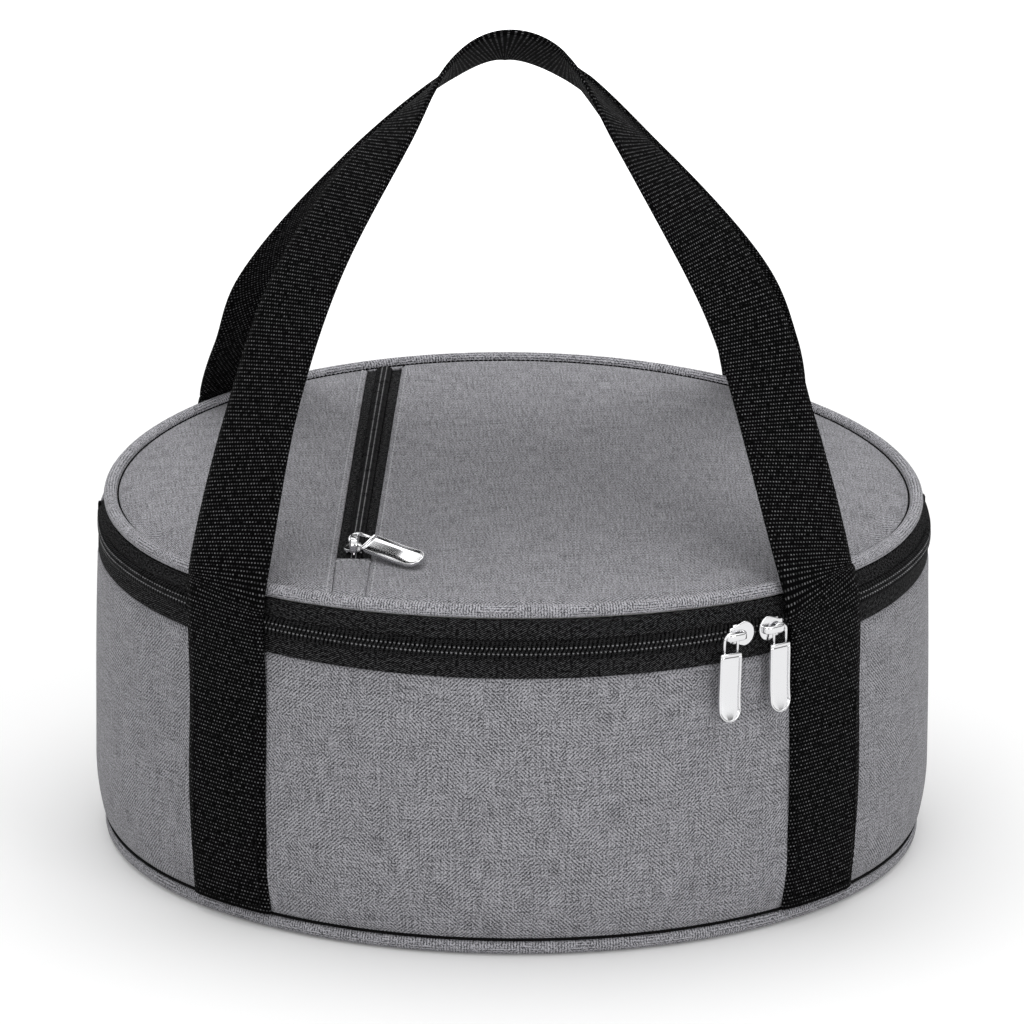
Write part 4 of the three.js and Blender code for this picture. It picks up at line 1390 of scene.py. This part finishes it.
def slider_parts(side, long, wide, gap, tape, crown_at, bar_height):
    """Two plates joined by a post, flanges round the coil, and the crown that holds the pull."""
    outline = slider_outline(side, long, wide)
    parts = [bevelled(outline, gap, gap + 0.9 * MM, 0.28 * MM)]
    parts.append(bevelled(outline, -tape - 1.2 * MM, -tape - 0.3 * MM, 0.25 * MM))
    post_corners = ((-1.4, -0.4), (1.4, -0.4), (1.4, 0.4), (-1.4, 0.4))
    post = [(side * long * 0.20 + x * MM, y * MM) for x, y in post_corners]
    parts.append(bevelled(post, -tape - 0.5 * MM, gap + 0.2 * MM, 0.1 * MM, 1))
    for edge in (-1, 1):
        y = edge * (wide / 2 * 0.80 - 0.5 * MM)
        rail = [(x * long, y + d * MM) for x, d in ((-0.34, -0.4), (0.34, -0.4), (0.34, 0.4), (-0.34, 0.4))]
        parts.append(bevelled(rail, gap - 1.1 * MM, gap + 0.3 * MM, 0.15 * MM, 2))
    parts.append(crown_part(side, gap + 0.9 * MM, crown_at, bar_height))
    return parts


def crown_part(side, plate_top, crown_at, bar_height):
    """A bar from its foot beside the pull's pivot, over the wire and down at the slider's nose."""
    reach_tail = 1.5 * MM
    reach_nose = 6.2 * MM
    low_place = plate_top - 0.2 * MM
    top = bar_height + 0.75 * MM
    tail = crown_at - side * reach_tail
    nose = crown_at + side * reach_nose
    path = [
        (tail, low_place), (tail, top - 1.4 * MM), (tail + side * 0.5 * MM, top - 0.4 * MM),
        (tail + side * 1.5 * MM, top), (nose - side * 1.5 * MM, top),
        (nose - side * 0.5 * MM, top - 0.5 * MM), (nose, top - 1.6 * MM), (nose, low_place),
    ]
    half_wide = 1.35 * MM
    half_thick = 0.6 * MM
    rows = []
    for i, (x, z) in enumerate(path):
        x_next, z_next = path[min(i + 1, len(path) - 1)]
        x_last, z_last = path[max(i - 1, 0)]
        along = Vector((x_next - x_last, 0, z_next - z_last)).normalized()
        out = Vector((0, 1, 0)).cross(along) * side
        rows.append([Vector((x, u, z)) + out * t for u, t in rounded_square(half_wide, half_thick)])
    points, faces, _ = skin_parts(rows)
    return points, faces


def rounded_square(half_wide, half_thick, sides=12):
    points = []
    for i in range(sides):
        t = 2 * math.pi * (i + 0.5) / sides
        across = math.cos(t)
        out = math.sin(t)
        wide = half_wide * math.copysign(abs(across) ** 0.5, across)
        points.append((wide, half_thick * math.copysign(abs(out) ** 0.5, out)))
    return points


def pull_parts(long):
    """A pull: wire loop round the crown, a lip bar, and a plate with a raised rim and a round tip.

    Its pivot is along X at the origin, the plate hangs along -Y, and its face looks along Z.
    """
    metal = bpy.context.scene.bag_metal
    arm = 2.75 * MM
    lip = -6.4 * MM
    crest = 1.5 * MM
    half = metal.pull_width / 2
    spring = crest - arm
    turns = steps(0.2, math.pi - 0.2, 0.2)
    arch = [Vector((-arm, lip, 0)), Vector((-arm, spring, 0))]
    arch += [Vector((-arm * math.cos(t), spring + arm * math.sin(t), 0)) for t in turns]
    arch += [Vector((arm, spring, 0)), Vector((arm, lip, 0))]
    parts = [tube(arch, metal.wire, 10)]
    bar = [(-half + 0.1 * MM, lip - 0.7 * MM), (half - 0.1 * MM, lip - 0.7 * MM),
           (half - 0.1 * MM, lip + 0.6 * MM), (-half + 0.1 * MM, lip + 0.6 * MM)]
    parts.append(bevelled(bar, -0.85 * MM, 0.85 * MM, 0.35 * MM))
    tip = -long + half
    blade = []
    for y in [*steps(lip, tip, 1.5 * MM), *[tip - half * math.sin(t) for t in steps(0.15, 1.5, 0.15)]]:
        wide = math.sqrt(half ** 2 - max(tip - y, 0) ** 2)
        blade.append([Vector((u, y, t)) for u, t in strip_section(wide, MM, 7)])
    rim = [Vector((-half, y, 0)) for y in steps(lip, tip, 1.5 * MM)[:-1]]
    rim += [Vector((-half * math.cos(t), tip - half * math.sin(t), 0)) for t in steps(0, math.pi, 0.15)]
    rim += [Vector((half, y, 0)) for y in steps(tip, lip, 1.5 * MM)[1:]]
    edge = []
    bead = rounded_square(0.36 * MM, 0.8 * MM, 8)
    for point in rim:
        side = (point - Vector((0, max(point.y, tip), 0))).normalized()
        edge.append([point + side * (u - 0.28 * MM) + Vector((0, 0, t)) for u, t in bead])
    for rows in (blade, edge):
        points, faces, _ = skin_parts(rows)
        parts.append(([curled(point, long) for point in points], faces))
    return parts


def curled(point, long):
    """A pull's tip lifts a little, for a finger."""
    start = -long * 0.62
    share_down = max(0, (start - point.y) / (long + start))
    return point + Vector((0, 0, 1.25 * MM * share_down ** 2))


# Where a rim slider's crown and pull sit along the zip from the swing's own point
CROWN_SHIFT = {"left": -3.7 * MM, "right": -1.0 * MM}
BODY_SHIFT = {"left": 0.4 * MM, "right": -1.9 * MM}
# Degrees that a rim pull hangs off the upright
PULL_LEAN = {"left": -2.0, "right": -0.5}


def make_rim_sliders():
    for name, side in (("left", 1), ("right", -1)):
        node = f"{name}_slider"
        turn = angle_of(slider_middle(node)) + BODY_SHIFT[name] / TAPE_OUTER
        places = rim_frame(turn, ZIP_MIDDLE)
        pivot = places.inverted() @ Vector(joint(f"{name}_pull_swing")["pos_m"])
        crown_at = pivot.x + CROWN_SHIFT[name]
        parts = slider_parts(side, long=10.3 * MM, wide=9.2 * MM, gap=3.0 * MM, tape=TAPE_OUTER - TAPE_INNER,
                             crown_at=crown_at, bar_height=pivot.z)
        slider = join(f"{name}_rim_slider_metal", [moved(part, places) for part in parts], chrome())
        finish_piece(slider, f"{name}_rim_slider", "chrome", node)


def slider_middle(node):
    """Middle of a rim slider along the zip, from the corners of its inner plate."""
    points = [p for p in corners(node) if p.xy.length < TAPE_INNER]
    return sum(points, Vector()) / len(points)


def make_rim_pulls():
    metal = bpy.context.scene.bag_metal
    for name, lean in PULL_LEAN.items():
        pivot = Vector(joint(f"{name}_pull_swing")["pos_m"])
        places = rim_frame(angle_of(pivot), pivot.z)
        places.translation = pivot + tangent(angle_of(pivot)) * CROWN_SHIFT[name]
        places = places @ Matrix.Rotation(math.radians(lean), 4, "Z")
        parts = [moved(part, places) for part in pull_parts(metal.rim_pull)]
        pull = join(f"{name}_rim_pull_metal", parts, chrome())
        finish_piece(pull, f"{name}_rim_pull", "chrome", f"{name}_pull")


def pocket_frame():
    """Axes of the pocket slider: x along the zip to the front, y across to the right, z up."""
    matrix = Matrix((-POCKET_ALONG, UP.cross(-POCKET_ALONG), UP)).transposed().to_4x4()
    matrix.translation = Vector((POCKET_ORIGIN.x, POCKET_ORIGIN.y, POCKET_TAPE_TOP))
    return matrix


# The pocket pull's lift over its swing's own point, and how it is turned about its own axes where it lies
POCKET_PULL_LIFT = 1.5 * MM
POCKET_PULL_TURNS = (("Z", -6), ("X", 6), ("Y", 22))


def make_pocket_slider():
    places = pocket_frame()
    bar = POCKET_ORIGIN.z - POCKET_TAPE_TOP + POCKET_PULL_LIFT
    tape = POCKET_TAPE_TOP - POCKET_TAPE_LOW
    parts = slider_parts(1, long=9.4 * MM, wide=7.4 * MM, gap=2.6 * MM, tape=tape, crown_at=0.0,
                         bar_height=bar)
    slider = join("pocket_slider_metal", [moved(part, places) for part in parts], chrome())
    finish_piece(slider, "lid_pocket_slider", "chrome", "pocket_slider")


def make_pocket_pull():
    metal = bpy.context.scene.bag_metal
    axis = Vector(joint("pocket_pull_swing")["axis"]).normalized()
    hang = UP.cross(axis)
    if hang.dot(centre("pocket_pull") - POCKET_ORIGIN) < 0:
        hang = -hang
    across = UP.cross(hang)
    places = Matrix((-across, -hang, UP)).transposed().to_4x4()
    places.translation = POCKET_ORIGIN + UP * POCKET_PULL_LIFT
    for own_axis, degrees in POCKET_PULL_TURNS:
        places = places @ Matrix.Rotation(math.radians(degrees), 4, own_axis)
    parts = [moved(part, places) for part in pull_parts(metal.pocket_pull)]
    pull = join("pocket_pull_metal", parts, chrome())
    finish_piece(pull, "lid_pocket_pull", "chrome", "pocket_pull")


# Lining and padding

def crinkle(place, depth):
    return depth * noise.noise(Vector((place.x, place.y, 0)) * 55)


def liner_section(node):
    inner, outer = radii(node)
    bottom = low(node).z
    top = high(node).z

    def section(turn):
        heights = steps(bottom, top, 4 * MM)
        face = [(inner - 0.3 * MM * abs(noise.noise(polar(1, turn, z / inner) * 9)), z) for z in heights]
        return face + [(outer - 0.05 * MM, z) for z in reversed(heights)]
    return section


def foil_disc(name, outline, node, nodes, bends):
    top = high(node).z
    thickness = top - low(node).z
    inner = grid_inside(outline, 4 * MM, 2 * MM)
    disc = sheet(name, outline, inner, lambda p: top + crinkle(p, 0.12 * MM) - 0.1 * MM, thickness,
                 insulating_foil())
    if bends:
        bend_with_lid(disc, "foil", *nodes)
    else:
        finish_piece(disc, "shell", "foil", *nodes)
    outline_area(outline)


def flat_disc(name, node, finish):
    """A flat round layer of the lid, as wide and as thick as a node."""
    outline = circle(radii(node)[1])
    top = high(node).z
    inner = grid_inside(outline, 5 * MM, 2 * MM)
    return sheet(name, outline, inner, lambda p: top, top - low(node).z, finish)


def make_lining():
    section = liner_section("wall_liner")
    wall = arc_band("wall_liner_foil", section, 0, 2 * math.pi, insulating_foil(), ring=True)
    finish_piece(wall, "shell", "foil", "wall_liner")
    foil_disc("base_liner_foil", circle(radii("base_liner")[1]), "base_liner", ["base_liner"], False)
    lid_nodes = ["lid_front_liner", "lid_rear_liner"]
    foil_disc("lid_liner_foil", circle(radii("lid_front_liner")[1]), "lid_front_liner", lid_nodes, True)
    back = arc_band("back_band_liner_foil", liner_section("back_band_liner"), REAR_START,
                    2 * math.pi - REAR_START, insulating_foil())
    finish_piece(settle(back), "shell", "foil", "back_band_liner")

    foam = flat_disc("lid_foam_pad", "lid_front_foam", foam_core())
    bend_with_lid(foam, "foam", "lid_front_foam", "lid_rear_foam")
    lining = flat_disc("pocket_lining_cloth", "lid_front_pocket_lining", lining_cloth())
    bend_with_lid(lining, "lining", "lid_front_pocket_lining", "lid_rear_pocket_lining")
    radius = radii("lid_front_pocket_lining")[1]
    area = outline_area(circle(radius))
    padding = arc_band("wall_foam_pad", wall_foam_section, 0, 2 * math.pi, foam_core(), ring=True)
    finish_piece(padding, "shell", "foam", "wall_foam")
    paint("base_board", stiff_board())
    paint("base_foam", foam_core())
    make_bindings()


def wall_foam_section(turn):
    inner, outer = radii("wall_foam")
    heights = steps(low("wall_foam").z, high("wall_foam").z, 5 * MM)
    return [(outer - foot_taper(z), z) for z in heights] + [(inner, z) for z in reversed(heights)]


def folded_binding(path, thickness):
    """Section of a binding tape folded along a path of (radius, height) points."""
    inner = []
    for i, (r, z) in enumerate(path):
        r_next, z_next = path[min(i + 1, len(path) - 1)]
        r_last, z_last = path[max(i - 1, 0)]
        along = Vector((r_next - r_last, z_next - z_last)).normalized()
        inner.append((r - along.y * thickness, z + along.x * thickness))
    return list(path) + inner[::-1]


def make_bindings():
    inner, outer = radii("rim_binding")
    top = high("rim_binding").z
    rim_fold = [
        (inner - 0.7 * MM, top - 6.5 * MM), (inner - 0.7 * MM, top - 3 * MM),
        (inner - 0.5 * MM, top - 0.8 * MM), (inner + 0.4 * MM, top - 0.1 * MM),
        ((inner + outer) / 2, top), (outer, top - 0.1 * MM),
    ]
    section = folded_binding(rim_fold, -0.6 * MM)
    binding = arc_band("rim_binding_tape", lambda turn: section, 0, 2 * math.pi, zip_tape_weave(), ring=True)
    finish_piece(binding, "shell", "zip_tape", "rim_binding")
    inner, outer = radii("lid_binding")
    bottom = low("lid_binding").z
    top = high("lid_binding").z
    lid_fold = [
        (outer, top), (outer, (top + bottom) / 2), (outer - 0.1 * MM, bottom + 0.5 * MM),
        (outer - 0.6 * MM, bottom - 0.1 * MM), (outer - 3 * MM, bottom - 0.4 * MM),
        (outer - 6.5 * MM, bottom - 0.4 * MM),
    ]
    lid_section = folded_binding(lid_fold, 0.6 * MM)
    binding = arc_band("lid_binding_tape", lambda turn: lid_section, -ZIP_END, ZIP_END, zip_tape_weave())
    bend_with_lid(binding, "zip_tape", "lid_binding")


# Stage

def make_stage():
    stage = bpy.context.scene.bag_stage
    scene = bpy.context.scene
    scene.view_settings.view_transform = "Standard"
    back = Vector((
        math.sin(stage.azimuth) * math.cos(stage.elevation),
        -math.cos(stage.azimuth) * math.cos(stage.elevation),
        math.sin(stage.elevation),
    ))
    lens = bpy.data.cameras.new("camera")
    lens.sensor_width = 36.0
    lens.lens = lens.sensor_width * stage.distance / stage.view_width
    lens.clip_end = 50.0
    camera = bpy.data.objects.new("camera", lens)
    scene.collection.objects.link(camera)
    turn = back.to_track_quat("Z", "Y").to_matrix().to_4x4() @ Matrix.Rotation(stage.roll, 4, "Z")
    aim = Vector((-0.0005, 0, stage.aim_height))
    camera.matrix_world = Matrix.Translation(aim + back * stage.distance) @ turn
    scene.camera = camera
    make_world(stage.ambient)
    make_floor(stage.floor)
    for name, place, size, power in (
        ("left_softbox", (-0.7, -1.7, 0.6), 0.9, 5.9),
        ("right_softbox", (1.0, -1.5, 0.6), 0.9, 8.1),
        ("top_softbox", (0.0, 0.45, 1.8), 2.2, 19.5),
    ):
        add_light(name, Vector(place), size, power)


def seen_directly(wire):
    """1 for what the camera sees, also in a mirror or through glass."""
    path = wire.add("ShaderNodeLightPath").outputs
    seen = wire.maths("MAXIMUM", path["Is Camera Ray"], path["Is Glossy Ray"])
    return wire.maths("MAXIMUM", seen, path["Is Transmission Ray"])


def make_world(ambient):
    """White to the eye, and for a mirror white above and grey low down, as a studio's far side."""
    world = bpy.data.worlds.new("studio")
    bpy.context.scene.world = world
    world.use_nodes = True
    wire = Wiring(world.node_tree)
    background = world.node_tree.nodes["Background"]
    height = wire.split(coordinates(wire, "Generated"))[2]
    grey_up_to = 0.12
    white_from = 0.7
    low_grey = (0.18, 0.18, 0.18, 1)
    white = wire.maths("MAXIMUM", wire.ramp(height, grey_up_to, white_from),
                       wire.add("ShaderNodeLightPath").outputs["Is Camera Ray"])
    wire.feed(background.inputs["Color"], wire.mix(white, low_grey, (1, 1, 1, 1)))
    seen = seen_directly(wire)
    strength = wire.maths("ADD", wire.maths("MULTIPLY", seen, 1 - ambient), ambient)
    wire.feed(background.inputs["Strength"], strength)


def make_floor(shade):
    """A wide pale floor: white to the eye, with the bag's soft shadow."""
    half = 4.0
    drop = -0.0002
    points = [(half * x, half * y, drop) for x, y in ((-1, -1), (1, -1), (1, 1), (-1, 1))]
    mesh = mesh_of("floor", points, [(0, 1, 2, 3)])
    finish = bpy.data.materials.new("pale_floor")
    finish.use_nodes = True
    wire = Wiring(finish.node_tree)
    shader = finish.node_tree.nodes["Principled BSDF"]
    shader.inputs["Base Color"].default_value = shade
    shader.inputs["Roughness"].default_value = 1.0
    shader.inputs["Specular IOR Level"].default_value = 0.0
    shader.inputs["Emission Color"].default_value = (1, 1, 1, 1)
    away = wire.vector("LENGTH", coordinates(wire, "Object"))
    fade_start = 0.35
    fade_end = 1.3
    near_glow = 0.12
    far = wire.maths("MULTIPLY", wire.ramp(away, fade_start, fade_end),
                     wire.add("ShaderNodeLightPath").outputs["Is Camera Ray"])
    near = wire.maths("MULTIPLY", seen_directly(wire), near_glow)
    wire.feed(shader.inputs["Emission Strength"], wire.maths("ADD", near, far))
    mesh.materials.append(finish)
    floor = bpy.data.objects.new("floor", mesh)
    bpy.context.scene.collection.objects.link(floor)


def add_light(name, place, size, power):
    lamp = bpy.data.lights.new(name, "AREA")
    lamp.shape = "DISK"
    lamp.size = size
    lamp.energy = power
    light = bpy.data.objects.new(name, lamp)
    bpy.context.scene.collection.objects.link(light)
    light.location = place
    light.rotation_euler = (place - Vector((0, 0, 0.1))).to_track_quat("Z", "Y").to_euler()


# Operators, panel and registration

class BAG_OT_stage(bpy.types.Operator):
    """Set up the floor, lights and camera"""

    bl_idname = "bag.stage"
    bl_label = "Stage"

    def execute(self, context):
        make_stage()
        return {"FINISHED"}


class BAG_OT_wall(bpy.types.Operator):
    """Sew the wall, base, base piping and back band"""

    bl_idname = "bag.wall"
    bl_label = "Drum cloth"

    def execute(self, context):
        make_wall()
        return {"FINISHED"}


class BAG_OT_lid(bpy.types.Operator):
    """Sew the lid cloth, its patches and its piping"""

    bl_idname = "bag.lid"
    bl_label = "Lid cloth"

    def execute(self, context):
        make_lid()
        return {"FINISHED"}


class BAG_OT_rim_zip(bpy.types.Operator):
    """Lay the rim zip's tapes and coils"""

    bl_idname = "bag.rim_zip"
    bl_label = "Rim zip"

    def execute(self, context):
        make_rim_zip()
        return {"FINISHED"}


class BAG_OT_pocket_zip(bpy.types.Operator):
    """Lay the pocket zip's tapes, coils and topstitching"""

    bl_idname = "bag.pocket_zip"
    bl_label = "Pocket zip"

    def execute(self, context):
        make_pocket_zip()
        return {"FINISHED"}


class BAG_OT_handles(bpy.types.Operator):
    """Weave and sew the two webbing handles"""

    bl_idname = "bag.handles"
    bl_label = "Handles"

    def execute(self, context):
        make_handles()
        return {"FINISHED"}


class BAG_OT_sliders(bpy.types.Operator):
    """Make the rim sliders and the pocket slider"""

    bl_idname = "bag.sliders"
    bl_label = "Sliders"

    def execute(self, context):
        make_rim_sliders()
        make_pocket_slider()
        return {"FINISHED"}


class BAG_OT_pulls(bpy.types.Operator):
    """Make the rim pulls and the pocket pull"""

    bl_idname = "bag.pulls"
    bl_label = "Pulls"

    def execute(self, context):
        make_rim_pulls()
        make_pocket_pull()
        return {"FINISHED"}


class BAG_OT_lining(bpy.types.Operator):
    """Line the bag with foil, foam and bindings"""

    bl_idname = "bag.lining"
    bl_label = "Lining"

    def execute(self, context):
        make_lining()
        return {"FINISHED"}


OPERATORS = (
    BAG_OT_stage, BAG_OT_wall, BAG_OT_lid, BAG_OT_rim_zip, BAG_OT_pocket_zip,
    BAG_OT_handles, BAG_OT_sliders, BAG_OT_pulls, BAG_OT_lining,
)
SETTINGS = {
    "bag_cloth": ClothSettings, "bag_zip": ZipSettings, "bag_webbing": WebbingSettings,
    "bag_metal": MetalSettings, "bag_stage": StageSettings,
}


class BAG_PT_panel(bpy.types.Panel):
    """Sizes, colours and steps of the lunch bag"""

    bl_idname = "BAG_PT_panel"
    bl_label = "Lunch bag"
    bl_space_type = "VIEW_3D"
    bl_region_type = "UI"
    bl_category = "Lunch bag"

    def draw(self, context):
        for name in SETTINGS:
            box = self.layout.box()
            for key in SETTINGS[name].__annotations__:
                box.prop(getattr(context.scene, name), key)
        for item in OPERATORS:
            self.layout.operator(item.bl_idname)


CLASSES = (*SETTINGS.values(), *OPERATORS, BAG_PT_panel)


def register():
    for item in CLASSES:
        bpy.utils.register_class(item)
    for name, group in SETTINGS.items():
        setattr(bpy.types.Scene, name, bpy.props.PointerProperty(type=group))


def unregister():
    for name in SETTINGS:
        delattr(bpy.types.Scene, name)
    for item in reversed(CLASSES):
        bpy.utils.unregister_class(item)


def main():
    register()
    bpy.ops.bag.stage()
    bpy.ops.bag.wall()
    bpy.ops.bag.lid()
    bpy.ops.bag.rim_zip()
    bpy.ops.bag.pocket_zip()
    bpy.ops.bag.handles()
    bpy.ops.bag.sliders()
    bpy.ops.bag.pulls()
    bpy.ops.bag.lining()


if __name__ == "__main__":
    main()
